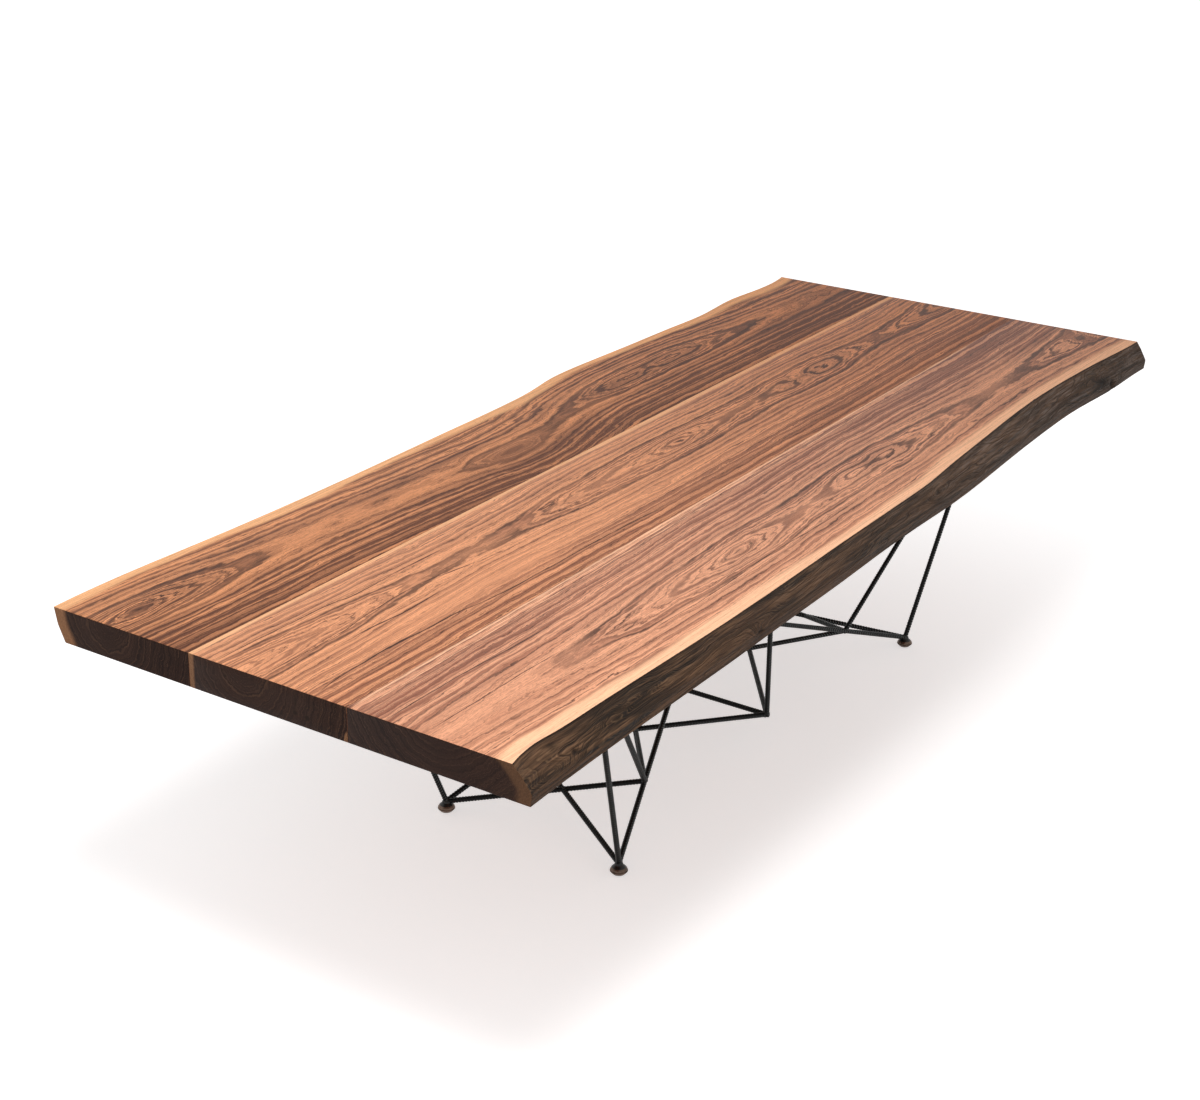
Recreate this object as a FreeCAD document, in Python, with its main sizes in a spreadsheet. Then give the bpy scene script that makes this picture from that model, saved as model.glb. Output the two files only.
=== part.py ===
import FreeCAD, Part
import Sketcher
import math
import os

from FreeCAD import Placement, Rotation, Vector

# A dining table: a live-edge top glued up from three thick boards, carried by a
# welded space frame of ribbed reinforcing bar that stands on four levelling feet.
# +X runs along the top, +Y across it and +Z up. The origin is on the floor,
# under the middle of the top's outline.

doc = FreeCAD.newDocument("LiveEdgeTable")
sheet = doc.addObject("Spreadsheet::Sheet", "Sizes")

driving_sizes = [
    # the glued top
    ("TopLength", 3000, "the top between its sawn ends"),
    ("TopHeight", 750, "floor to the upper face"),
    ("TopThickness", 75, "the boards"),
    ("MiddleWidth", 400, "middle board between its two glue lines"),
    ("MiddleShift", 14, "centre line to the middle board's own, towards +Y"),
    ("LeftReach", 586, "centre line to the +Y edge, without its bows"),
    ("LeftWave", 20, "largest bow of the +Y edge"),
    ("LeftUndercut", 25, "how far the +Y edge draws in below"),
    ("LeftRound", 5, "fullness of the +Y edge's face at its mid height"),
    ("RightReach", 551, "centre line to the -Y edge's upper arris, without its bows"),
    ("RightWave", 21, "largest bow of the -Y upper arris"),
    ("RightLowReach", 590, "centre line to the -Y edge's lower arris, without its bows"),
    ("RightLowWave", 16, "largest bow of the -Y lower arris"),
    ("RightBulge", 2.8, "fullest line of the -Y edge past its lower arris"),
    ("BulgeHeight", 25, "underside of the top to that fullest line"),
    ("ShoulderHeight", 55, "underside of the top to the -Y edge's shoulder"),
    # the welded frame
    ("FrameShiftLength", 40, "origin to the frame's centre, towards +X"),
    ("FrameShiftWidth", -10, "origin to the frame's centre, towards +Y"),
    ("EndOverhang", 550, "sawn end of the top to an upper corner, mean of both ends"),
    ("HeadHalfWidth", 324, "frame's centre to an upper corner, across the top"),
    ("HeadNodeDrop", 8, "underside of the top to an upper corner's node"),
    ("FootDrawIn", 229, "upper corner to the foot below it, along the top"),
    ("FootNodeHeight", 25, "floor to the node over a foot"),
    ("WaistHalfWidth", 214, "frame's centre to a post, across the top"),
    ("WaistHeight", 84, "floor to the cross tie"),
    ("BarDiameter", 12, "core of the ribbed bar"),
    ("BarRibWidth", 1.8, "each of the bar's two lengthwise ribs"),
    ("BarRibHeight", 0.5, "each of the bar's two lengthwise ribs"),
    ("BarOverhang", 6, "cross tie past its end nodes"),
    ("WeldGap", 0.3, "clearance where a bar is coped round another piece"),
    # the head plates
    ("PlateLength", 150, "head plate, along the top"),
    ("PlateWidth", 94, "head plate, across the top"),
    ("PlateThickness", 5, "head plate"),
    ("PlateCorner", 10, "corner radius of a head plate"),
    ("BoltSpacingLength", 112, "bolts in a plate, along the top"),
    ("SlotWidth", 9, "slot that lets the wood move across its grain"),
    ("SlotLength", 17, "that slot, end to end"),
    # the bolts and their threaded inserts
    ("BoltDiameter", 8, "shank of a hexagon flange bolt"),
    ("BoltFlangeDiameter", 17.5, "flange of the bolt's head"),
    ("BoltFlange", 1.5, "thickness of that flange"),
    ("BoltHexWidth", 13, "hexagon on the flange, across its flats"),
    ("BoltHexHeight", 5, "hexagon on the flange"),
    ("BoltReach", 17, "shank past the plate"),
    ("InsertDiameter", 14, "threaded insert in the wood"),
    ("InsertLength", 22, "threaded insert in the wood"),
    ("FitGap", 0.15, "radial clearance of a bolt, insert or stud in what holds it"),
    # the levelling feet
    ("GlideDiameter", 42, "widest line of the glide"),
    ("GlideBaseDiameter", 30, "the flat that stands on the floor"),
    ("GlideWaistHeight", 8, "floor to the glide's widest line"),
    ("GlideHeight", 9.5, "floor to the glide's upper face"),
    ("SeatGap", 0.3, "glide to cup when it is screwed right up"),
    ("CupDiameter", 40, "lower rim of the cup"),
    ("CupRimHeight", 2, "upright rim of the cup"),
    ("CupTopDiameter", 16, "top of the cup, where the bars are welded"),
    ("CupHeight", 14, "the cup from rim to top"),
    ("StudDiameter", 8, "threaded stud between glide and cup"),
    ("StudSink", 6.5, "stud inside the glide"),
    ("StudReach", 11, "stud above the glide"),
    ("StudClearance", 0.3, "radial clearance of the stud in the cup"),
    ("StudEndRoom", 1, "bore left above the stud when it is screwed right up"),
]
for row, (alias, value, note) in enumerate(driving_sizes, start=1):
    sheet.set("A%d" % row, alias)
    sheet.set("B%d" % row, str(value))
    sheet.set("C%d" % row, note)
    sheet.setAlias("B%d" % row, alias)
doc.recompute()


class Measure:
    """A length, with the formula on the sheet that it comes from."""

    def __init__(self, value, formula):
        self.value = value
        self.formula = formula

    def __add__(self, other):
        return Measure(self.value + other.value, "(%s + %s)" % (self.formula, other.formula))

    def __sub__(self, other):
        return Measure(self.value - other.value, "(%s - %s)" % (self.formula, other.formula))

    def __mul__(self, factor):
        return Measure(self.value * factor, "(%s * %s)" % (self.formula, factor))

    def __truediv__(self, factor):
        return Measure(self.value / factor, "(%s / %s)" % (self.formula, factor))

    def __neg__(self):
        return self * -1


def size(alias):
    return Measure(float(sheet.get(alias)), "Sizes.%s" % alias)


def ratio(first, second, third):
    """first * second / third, as when a length is carried along a slope."""
    value = first.value * second.value / third.value
    return Measure(value, "(%s * %s / %s)" % (first.formula, second.formula, third.formula))


def bind(thing, name, measure):
    thing.setExpression(name, measure.formula)


zero = Measure(0.0, "0")

# Heights that several pieces share
underside = size("TopHeight") - size("TopThickness")
plate_bottom = underside - size("PlateThickness")
bar_clearance_radius = size("BarDiameter") / 2 + size("BarRibHeight") + size("WeldGap")
bolt_hole_radius = size("BoltDiameter") / 2 + size("FitGap")
cup_bottom = size("GlideHeight") + size("SeatGap")
cup_top = cup_bottom + size("CupHeight")
half_length = size("TopLength") / 2


# Sketches, bodies and their places

def new_body(name):
    return doc.addObject("PartDesign::Body", name)


def new_sketch(body, name, role, lift=None):
    """A sketch on one of the body's own planes, raised by lift if one is given."""
    plane = [item for item in body.Origin.OriginFeatures if item.Role == role][0]
    sketch = body.newObject("Sketcher::SketchObject", name)
    sketch.AttachmentSupport = (plane, [""])
    sketch.MapMode = "FlatFace"
    if lift is not None:
        bind(sketch, "AttachmentOffset.Base.z", lift)
    return sketch


def pin_one_way(sketch, kind, axis, geometry, point, measure):
    if abs(measure.value) == 0:
        sketch.addConstraint(Sketcher.Constraint("PointOnObject", geometry, point, axis))
        return
    if measure.value > 0:
        rule = Sketcher.Constraint(kind, -1, 1, geometry, point, measure.value)
        formula = measure.formula
    else:
        rule = Sketcher.Constraint(kind, geometry, point, -1, 1, -measure.value)
        formula = (-measure).formula
    number = sketch.addConstraint(rule)
    sketch.setExpression("Constraints[%d]" % number, formula)


def pin(sketch, geometry, point, across, up):
    """Hold a point of the sketch at its distances from the sketch's origin."""
    pin_one_way(sketch, "DistanceX", -2, geometry, point, across)
    pin_one_way(sketch, "DistanceY", -1, geometry, point, up)


def draw_outline(sketch, corners):
    """A closed outline of straight lines with every corner held by its sizes."""
    points = [Vector(across.value, up.value, 0) for across, up in corners]
    for start, end in zip(points, points[1:] + points[:1]):
        sketch.addGeometry(Part.LineSegment(start, end), False)
    for line in range(len(points)):
        following = (line + 1) % len(points)
        sketch.addConstraint(Sketcher.Constraint("Coincident", line, 2, following, 1))
    for line, (across, up) in enumerate(corners):
        pin(sketch, line, 1, across, up)


def draw_rectangle(sketch, length, width):
    draw_outline(sketch, [
        (-length / 2, -width / 2),
        (length / 2, -width / 2),
        (length / 2, width / 2),
        (-length / 2, width / 2),
    ])


def draw_circle(sketch, radius):
    sketch.addGeometry(Part.Circle(Vector(0, 0, 0), Vector(0, 0, 1), radius.value), False)
    pin(sketch, 0, 3, zero, zero)
    number = sketch.addConstraint(Sketcher.Constraint("Radius", 0, radius.value))
    sketch.setExpression("Constraints[%d]" % number, radius.formula)


def draw_slot(sketch, across, up):
    """A slot across the top's grain, centred on the given place."""
    reach = (size("SlotLength") - size("SlotWidth")) / 2
    radius = size("SlotWidth") / 2
    first = sketch.GeometryCount
    sides = []
    for offset, start_angle in ((reach, 0), (-reach, math.pi)):
        centre = Vector(across.value, (up + offset).value, 0)
        circle = Part.Circle(centre, Vector(0, 0, 1), radius.value)
        arc = Part.ArcOfCircle(circle, start_angle, start_angle + math.pi)
        number = sketch.addGeometry(arc, False)
        sides.append((arc.StartPoint, arc.EndPoint))
        pin(sketch, number, 3, across, up + offset)
        rule = sketch.addConstraint(Sketcher.Constraint("Radius", number, radius.value))
        sketch.setExpression("Constraints[%d]" % rule, radius.formula)
    (upper_start, upper_end), (lower_start, lower_end) = sides
    sketch.addGeometry(Part.LineSegment(upper_end, lower_start), False)
    sketch.addGeometry(Part.LineSegment(lower_end, upper_start), False)
    upper, lower, left, right = range(first, first + 4)
    sketch.addConstraint(Sketcher.Constraint("Tangent", upper, 2, left, 1))
    sketch.addConstraint(Sketcher.Constraint("Tangent", left, 2, lower, 1))
    sketch.addConstraint(Sketcher.Constraint("Tangent", lower, 2, right, 1))
    sketch.addConstraint(Sketcher.Constraint("Tangent", right, 2, upper, 1))


def pad(body, name, sketch, length):
    feature = body.newObject("PartDesign::Pad", name)
    feature.Profile = sketch
    bind(feature, "Length", length)
    sketch.Visibility = False
    return feature


def revolve(body, name, sketch):
    feature = body.newObject("PartDesign::Revolution", name)
    feature.Profile = sketch
    feature.ReferenceAxis = (sketch, ["V_Axis"])
    feature.Angle = 360
    sketch.Visibility = False
    return feature


def round_edges(body, name, base, wanted, radius):
    """Round those edges of the body's last feature that the test picks."""
    doc.recompute()
    names = []
    for number, edge in enumerate(base.Shape.Edges, start=1):
        if wanted(edge):
            names.append("Edge%d" % number)
    fillet = body.newObject("PartDesign::Fillet", name)
    fillet.Base = (base, names)
    bind(fillet, "Radius", radius)
    return fillet


def is_upright(edge):
    ends = [vertex.Point for vertex in edge.Vertexes]
    return len(ends) == 2 and abs(abs((ends[1] - ends[0]).normalize().z) - 1) < slack_share


def stand(thing, across, along, up):
    """Place a piece by its sizes, without turning it."""
    bind(thing, "Placement.Base.x", across)
    bind(thing, "Placement.Base.y", along)
    bind(thing, "Placement.Base.z", up)


slack_share = 0.001
sub_parts = []


def keep(thing, label):
    """Count a finished piece as a sub-part of the table under its own label."""
    thing.Label = label
    sub_parts.append(thing)
    return thing


# Nodes of the welded frame. It is the same on both sides of its centre, both
# ways. The long diagonals all cross at its centre, so a foot lies on the line
# from the opposite upper corner.

corners = {
    "near_left": (-1, 1),
    "near_right": (-1, -1),
    "far_right": (1, -1),
    "far_left": (1, 1),
}
opposite = {
    "near_left": "far_right",
    "near_right": "far_left",
    "far_right": "near_left",
    "far_left": "near_right",
}
beside = {
    "near_left": "near_right",
    "near_right": "near_left",
    "far_right": "far_left",
    "far_left": "far_right",
}
sides = {"left": 1, "right": -1}
inner_share = 0.133

head_height = underside - size("HeadNodeDrop")
head_half_length = half_length - size("EndOverhang")
foot_half_length = head_half_length - size("FootDrawIn")
foot_half_width = ratio(size("HeadHalfWidth"), foot_half_length, head_half_length)


def frame_node(across, along, up):
    """A node given from the frame's centre line, as three measures."""
    return (size("FrameShiftLength") + across, size("FrameShiftWidth") + along, up)


def node_between(first, second, share):
    return tuple(start + (end - start) * share for start, end in zip(first, second))


heads = {}
feet = {}
for corner, (end_sign, side_sign) in corners.items():
    heads[corner] = frame_node(
        head_half_length * end_sign, size("HeadHalfWidth") * side_sign, head_height)
    feet[corner] = frame_node(
        foot_half_length * end_sign, foot_half_width * side_sign, size("FootNodeHeight"))

inner_nodes = {}
for corner in corners:
    inner_nodes[corner] = node_between(feet[corner], heads[opposite[corner]], inner_share)

waists = {}
post_heads = {}
for side, side_sign in sides.items():
    reach = size("WaistHalfWidth") * side_sign
    waists[side] = frame_node(zero, reach, size("WaistHeight"))
    post_heads[side] = frame_node(zero, reach, head_height)


# The top: a square-edged board between two boards that keep the tree's own edge

left_glue_line = size("MiddleShift") + size("MiddleWidth") / 2
right_glue_line = size("MiddleShift") - size("MiddleWidth") / 2

# The +Y edge: (share of the length from the middle, share of its largest bow)
left_edge_shares = [
    (-0.5, 0.1), (-0.413, 0.1), (-0.347, -0.4), (-0.28, -0.7), (-0.18, -0.8), (-0.08, -0.6),
    (0.02, -0.4), (0.053, 0.0), (0.087, 0.8), (0.113, 1.0), (0.153, 0.8), (0.22, 0.3),
    (0.287, -0.1), (0.337, -0.4), (0.4, 0.2), (0.433, -0.2), (0.5, 0.1),
]
# The -Y edge: (share of the length, share of the upper arris's bow, share of the lower's)
right_edge_shares = [
    (-0.5, 0.43, 0.8), (-0.413, 0.4, 0.45), (-0.347, 0.66, 0.45), (-0.28, 0.92, 0.5),
    (-0.18, 1.0, 0.34), (-0.113, 0.9, 0.3), (-0.047, 0.9, 0.06), (0.02, 0.9, 0.09),
    (0.053, 0.81, 0.25), (0.087, 0.43, 0.34), (0.153, -0.14, -0.03), (0.22, -0.7, -0.6),
    (0.287, -1.0, -0.94), (0.353, -0.78, -0.84), (0.42, -0.14, 0.06), (0.46, 0.43, 0.15),
    (0.5, 0.81, 0.38),
]
right_shoulder_share = 0.5


def left_edge(reach):
    """The +Y edge at one height, as points along the top."""
    return [
        (size("TopLength").value * share, reach.value + size("LeftWave").value * bow)
        for share, bow in left_edge_shares
    ]


def right_edge(rise_share, fullness):
    """The -Y edge at one height, from its lower arris at 0 to its upper one at 1."""
    points = []
    for share, top_bow, low_bow in right_edge_shares:
        top = size("RightReach").value + size("RightWave").value * top_bow
        low = size("RightLowReach").value + size("RightLowWave").value * low_bow
        reach = low + (top - low) * rise_share + fullness.value
        points.append((size("TopLength").value * share, -reach))
    return points


def board_outline(glue_line, edge_points, height):
    """One level of a live-edge board: glue line, two sawn ends and the tree's edge."""
    live = [Vector(along, across, height.value) for along, across in edge_points]
    start = Vector(live[0].x, glue_line.value, height.value)
    end = Vector(live[-1].x, glue_line.value, height.value)
    curve = Part.BSplineCurve()
    curve.interpolate(live)
    return Part.Wire([
        Part.makeLine(start, live[0]),
        curve.toShape(),
        Part.makeLine(live[-1], end),
        Part.makeLine(end, start),
    ])


def live_edge_board(name, glue_line, levels):
    """A board through its outlines at several heights, each with its own live edge."""
    blank = doc.addObject("Part::Feature", name)
    outlines = [board_outline(glue_line, points, height) for height, points in levels]
    blank.Shape = Part.makeLoft(outlines, True, True)
    return blank


mid_height = underside + size("TopThickness") / 2
left_mid_reach = size("LeftReach") - size("LeftUndercut") / 2 + size("LeftRound")
left_blank = live_edge_board("LeftBlank", left_glue_line, [
    (underside, left_edge(size("LeftReach") - size("LeftUndercut"))),
    (mid_height, left_edge(left_mid_reach)),
    (size("TopHeight"), left_edge(size("LeftReach"))),
])
right_blank = live_edge_board("RightBlank", right_glue_line, [
    (underside, right_edge(0, zero)),
    (underside + size("BulgeHeight"), right_edge(0, size("RightBulge"))),
    (underside + size("ShoulderHeight"), right_edge(right_shoulder_share, zero)),
    (size("TopHeight"), right_edge(1, zero)),
])

middle_blank = new_body("MiddleBlank")
middle_sketch = new_sketch(middle_blank, "MiddleOutline", "XY_Plane")
draw_rectangle(middle_sketch, size("TopLength"), size("MiddleWidth"))
pad(middle_blank, "MiddlePad", middle_sketch, size("TopThickness"))
stand(middle_blank, zero, size("MiddleShift"), underside)


# Each plate has two bolts, on its long middle line, clear of the bars below it
bolt_offset_shares = [-0.5, 0.5]

plates = []
for corner in corners:
    plates.append(("head_plate_" + corner, heads[corner]))
for side in sides:
    plates.append(("post_plate_" + side, post_heads[side]))

bolt_places = []
for label, head in plates:
    for share in bolt_offset_shares:
        bolt_places.append(((head[0] + size("BoltSpacingLength") * share).value, head[1].value))


def repeated(name, master, height):
    """One solid for every bolt, each under or in the top at the given height."""
    group = doc.addObject("Part::Feature", name)
    solids = []
    for across, along in bolt_places:
        solids.append(master.Shape.translated(Vector(across, along, height.value)))
    group.Shape = Part.makeCompound(solids)
    return group


def turned_body(name, section):
    """A body turned from half its section, which is drawn beside the upright axis."""
    body = new_body(name)
    sketch = new_sketch(body, name + "Section", "XZ_Plane")
    draw_outline(sketch, section)
    revolve(body, name + "Turned", sketch)
    return body


# Head plates: welded to the bars, bolted to the boards through slots

for label, head in plates:
    plate = new_body(label)
    outline = new_sketch(plate, label + "_outline", "XY_Plane")
    draw_rectangle(outline, size("PlateLength"), size("PlateWidth"))
    flat = pad(plate, label + "_flat", outline, size("PlateThickness"))
    rounded = round_edges(plate, label + "_rounded", flat, is_upright, size("PlateCorner"))
    slots = new_sketch(plate, label + "_slots", "XY_Plane")
    for share in bolt_offset_shares:
        draw_slot(slots, size("BoltSpacingLength") * share, zero)
    doc.recompute()
    cut = plate.newObject("PartDesign::Pocket", label + "_slotted")
    cut.Profile = slots
    cut.Type = "ThroughAll"
    cut.Reversed = True
    doc.recompute()
    if cut.Shape.Volume >= rounded.Shape.Volume:
        raise ValueError("the slots of %s cut nothing" % label)
    stand(plate, head[0], head[1], plate_bottom)
    keep(plate, label)


# One bolt and one insert, drawn with the face that they seat on at height zero

flange = doc.addObject("Part::Cylinder", "BoltFlangeDisc")
bind(flange, "Radius", size("BoltFlangeDiameter") / 2)
bind(flange, "Height", size("BoltFlange"))
bind(flange, "Placement.Base.z", -size("BoltFlange"))
hexagon = doc.addObject("Part::Prism", "BoltHexagon")
hexagon.Polygon = 6
bind(hexagon, "Circumradius", size("BoltHexWidth") / math.sqrt(3))
bind(hexagon, "Height", size("BoltHexHeight"))
bind(hexagon, "Placement.Base.z", -size("BoltFlange") - size("BoltHexHeight"))
shank = doc.addObject("Part::Cylinder", "BoltShank")
bind(shank, "Radius", size("BoltDiameter") / 2)
bind(shank, "Height", size("PlateThickness") + size("BoltReach"))
bolt = doc.addObject("Part::MultiFuse", "Bolt")
bolt.Shapes = [hexagon, flange, shank]

insert_master = turned_body("InsertMaster", [
    (bolt_hole_radius, zero),
    (size("InsertDiameter") / 2, zero),
    (size("InsertDiameter") / 2, size("InsertLength")),
    (bolt_hole_radius, size("InsertLength")),
])

hole = doc.addObject("Part::Cylinder", "InsertHole")
bind(hole, "Radius", size("InsertDiameter") / 2 + size("FitGap"))
bind(hole, "Height", size("InsertLength") + size("FitGap"))
doc.recompute()

keep(repeated("plate_bolts", bolt, plate_bottom), "plate_bolts")
keep(repeated("threaded_inserts", insert_master, underside), "threaded_inserts")
insert_holes = repeated("insert_holes", hole, underside)

for label, blank in (
        ("board_left", left_blank),
        ("board_middle", middle_blank),
        ("board_right", right_blank)):
    board = doc.addObject("Part::Cut", label)
    board.Base = blank
    board.Tool = insert_holes
    keep(board, label)


# Levelling feet: a cup welded under the bars and a glide on a threaded stud

stud_bore_radius = size("StudDiameter") / 2 + size("StudClearance")
stud_bore_top = size("GlideHeight") + size("StudReach") + size("StudEndRoom")
stud_bottom = size("GlideHeight") - size("StudSink")
glide_hole_radius = size("StudDiameter") / 2 + size("FitGap")

cup_section = [
    (stud_bore_radius, cup_bottom),
    (size("CupDiameter") / 2, cup_bottom),
    (size("CupDiameter") / 2, cup_bottom + size("CupRimHeight")),
    (size("CupTopDiameter") / 2, cup_top),
    (zero, cup_top),
    (zero, stud_bore_top),
    (stud_bore_radius, stud_bore_top),
]
glide_section = [
    (zero, zero),
    (size("GlideBaseDiameter") / 2, zero),
    (size("GlideDiameter") / 2, size("GlideWaistHeight")),
    (size("GlideDiameter") / 2, size("GlideHeight")),
    (glide_hole_radius, size("GlideHeight")),
    (glide_hole_radius, stud_bottom),
    (zero, stud_bottom),
]

cup_master = turned_body("CupMaster", cup_section)
doc.recompute()
foot_cups = doc.addObject("Part::Feature", "foot_cups")
foot_cups.Shape = Part.makeCompound([
    cup_master.Shape.translated(Vector(foot[0].value, foot[1].value, 0))
    for foot in feet.values()
])
keep(foot_cups, "foot_cups")

for corner, foot in feet.items():
    glide = turned_body("glide_" + corner, glide_section)
    stand(glide, foot[0], foot[1], zero)
    keep(glide, "foot_glide_" + corner)

    stud = doc.addObject("Part::Cylinder", "stud_" + corner)
    bind(stud, "Radius", size("StudDiameter") / 2)
    bind(stud, "Height", size("StudSink") + size("StudReach"))
    stand(stud, foot[0], foot[1], stud_bottom)
    keep(stud, "foot_stud_" + corner)


# What a bar's end is cut back from: the plates above it and the cup below it

plate_clearance = doc.addObject("Part::Box", "PlateClearance")
bind(plate_clearance, "Length", size("TopLength"))
bind(plate_clearance, "Width", size("HeadHalfWidth") * 4)
bind(plate_clearance, "Height", size("TopThickness"))
stand(plate_clearance, -half_length, -size("HeadHalfWidth") * 2, plate_bottom - size("WeldGap"))

cup_clearances = {}
for corner, foot in feet.items():
    cone = doc.addObject("Part::Cone", "CupClearance_" + corner)
    bind(cone, "Radius1", size("CupDiameter") / 2 + size("WeldGap") * 2)
    bind(cone, "Radius2", size("CupTopDiameter") / 2 + size("WeldGap"))
    bind(cone, "Height", size("CupHeight") - size("CupRimHeight") + size("WeldGap"))
    stand(cone, foot[0], foot[1], cup_bottom + size("CupRimHeight"))
    cup_clearances[corner] = cone


# Bars of the frame. Each is sawn from ribbed bar, then coped round the pieces that
# were welded in before it, so that its ends seat on them like a saddle.

class Bar:
    """A length of ribbed bar between two nodes and the clearance that it needs."""

    def __init__(self, label, start, end, overhang_start=zero, overhang_end=zero):
        self.label = label
        first = Vector(*[measure.value for measure in start])
        last = Vector(*[measure.value for measure in end])
        direction = (last - first).normalize()
        legs = ["(%s)^2" % (b - a).formula for a, b in zip(start, end)]
        span = Measure(first.distanceToPoint(last), "sqrt(%s)" % " + ".join(legs))
        self.turn = Rotation(Vector(0, 0, 1), direction)
        self.stock = self.make_stock(first - direction * overhang_start.value,
                                     span + overhang_start + overhang_end)
        overrun = size("BarDiameter") * 2
        self.clearance = self.make_clearance(first - direction * overrun.value,
                                             span + overrun * 2)

    def make_stock(self, place, length):
        body = new_body(self.label + "_stock")
        core = new_sketch(body, self.label + "_core", "XY_Plane")
        draw_circle(core, size("BarDiameter") / 2)
        pad(body, self.label + "_round", core, length)
        ribs = new_sketch(body, self.label + "_ribs", "XY_Plane")
        draw_rectangle(ribs, size("BarDiameter") + size("BarRibHeight") * 2, size("BarRibWidth"))
        pad(body, self.label + "_ribbed", ribs, length)
        body.Placement = Placement(place, self.turn)
        return body

    def make_clearance(self, place, length):
        cylinder = doc.addObject("Part::Cylinder", self.label + "_clearance")
        bind(cylinder, "Radius", bar_clearance_radius)
        bind(cylinder, "Height", length)
        cylinder.Placement = Placement(place, self.turn)
        return cylinder

    def cope(self, tools):
        """Cut the bar back from one neighbour after another."""
        shaped = self.stock
        for number, tool in enumerate(tools, start=1):
            cut = doc.addObject("Part::Cut", "%s_cope_%d" % (self.label, number))
            cut.Base = shaped
            cut.Tool = tool
            shaped = cut
        keep(shaped, self.label)


def across_from(corner):
    """The side of the frame that a corner's tie runs to."""
    return "right" if corner.endswith("left") else "left"


top_reach = size("BarDiameter") * 2
uprights = {}
diagonals = {}
struts = {}
braces = {}
ties = {}
posts = {}
for corner in corners:
    foot = feet[corner]
    inner = inner_nodes[corner]
    uprights[corner] = Bar("upright_" + corner, foot, heads[corner], overhang_end=top_reach)
    diagonals[corner] = Bar("diagonal_" + corner, foot, heads[opposite[corner]])
    struts[corner] = Bar("strut_" + corner, inner, heads[corner])
    braces[corner] = Bar("brace_" + corner, foot, inner_nodes[beside[corner]])
    ties[corner] = Bar("tie_" + corner, inner, waists[across_from(corner)])
for side in sides:
    posts[side] = Bar("post_" + side, waists[side], post_heads[side], overhang_end=top_reach)
cross_tie = Bar("cross_tie", waists["left"], waists["right"],
                overhang_start=size("BarOverhang"), overhang_end=size("BarOverhang"))

cross_tie.cope([])
for side, post in posts.items():
    post.cope([cross_tie.clearance, plate_clearance])

done_diagonals = []
for corner in corners:
    uprights[corner].cope([cup_clearances[corner], plate_clearance])
    diagonal = diagonals[corner]
    far_corner = opposite[corner]
    diagonal.cope(
        [uprights[corner].clearance, cup_clearances[corner],
         uprights[far_corner].clearance, plate_clearance] + done_diagonals)
    done_diagonals.append(diagonal.clearance)

for corner in corners:
    own = diagonals[corner].clearance
    struts[corner].cope(
        [own, uprights[corner].clearance, diagonals[opposite[corner]].clearance,
         plate_clearance])

# Of two bars that cross or end side by side, the one made first runs through
done_braces = []
done_ties = []
for corner in corners:
    far_end = beside[corner]
    braces[corner].cope(
        [uprights[corner].clearance, diagonals[corner].clearance, cup_clearances[corner],
         diagonals[far_end].clearance, struts[far_end].clearance] + done_braces)
    done_braces.append(braces[corner].clearance)

for corner in corners:
    side = across_from(corner)
    ties[corner].cope(
        [diagonals[corner].clearance, struts[corner].clearance,
         braces[beside[corner]].clearance, cross_tie.clearance, posts[side].clearance] + done_ties)
    done_ties.append(ties[corner].clearance)

doc.recompute()

for thing in doc.Objects:
    if "Invalid" in thing.State or "Error" in thing.State:
        raise ValueError("%s was not built: %s" % (thing.Label, thing.State))
for thing in sub_parts:
    if thing.Shape.isNull() or not thing.Shape.isValid():
        raise ValueError("%s has no sound shape" % thing.Label)

os.makedirs("parts", exist_ok=True)
for thing in sub_parts:
    thing.Shape.exportStep("parts/%s.step" % thing.Label)
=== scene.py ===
import bmesh
import bpy
import math
from mathutils import Matrix, Vector, noise
from mathutils.bvhtree import BVHTree


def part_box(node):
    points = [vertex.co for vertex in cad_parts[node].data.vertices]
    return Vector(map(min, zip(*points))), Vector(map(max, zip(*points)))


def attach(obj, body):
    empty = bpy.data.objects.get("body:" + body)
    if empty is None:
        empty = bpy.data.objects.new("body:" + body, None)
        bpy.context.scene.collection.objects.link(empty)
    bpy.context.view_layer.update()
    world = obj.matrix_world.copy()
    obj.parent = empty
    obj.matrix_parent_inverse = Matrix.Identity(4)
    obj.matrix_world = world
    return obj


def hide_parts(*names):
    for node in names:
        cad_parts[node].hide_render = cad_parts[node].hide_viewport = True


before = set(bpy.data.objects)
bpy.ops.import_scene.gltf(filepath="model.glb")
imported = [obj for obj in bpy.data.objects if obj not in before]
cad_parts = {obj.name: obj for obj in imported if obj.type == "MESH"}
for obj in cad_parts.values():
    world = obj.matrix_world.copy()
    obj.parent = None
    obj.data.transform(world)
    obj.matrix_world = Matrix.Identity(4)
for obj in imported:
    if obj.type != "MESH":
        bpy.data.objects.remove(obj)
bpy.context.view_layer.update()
print("frame loaded with", len(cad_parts), "nodes")


# studio

studio = {
    "cameraPlace": (-4.1056, -2.487, 2.5415),
    "cameraRight": (0.558431, -0.829517, 0.007501),
    "cameraUp": (0.322313, 0.225295, 0.919433),
    "lens": 63.0975,
    "floorSize": 40.0,
    "floorShade": 0.8,
    "floorGlow": (0.56, 0.87),
    "paintedShadeReach": (0.2, 3.0),
    "lampPlace": (-1.75, -0.72, 3.35),
    "lampAim": (-0.1, 0.0, 0.75),
    "lampSize": 1.1,
    "lampPower": 71.0,
    "worldLight": 0.36,
}

scene = bpy.context.scene
scene.view_settings.view_transform = "Standard"

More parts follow.
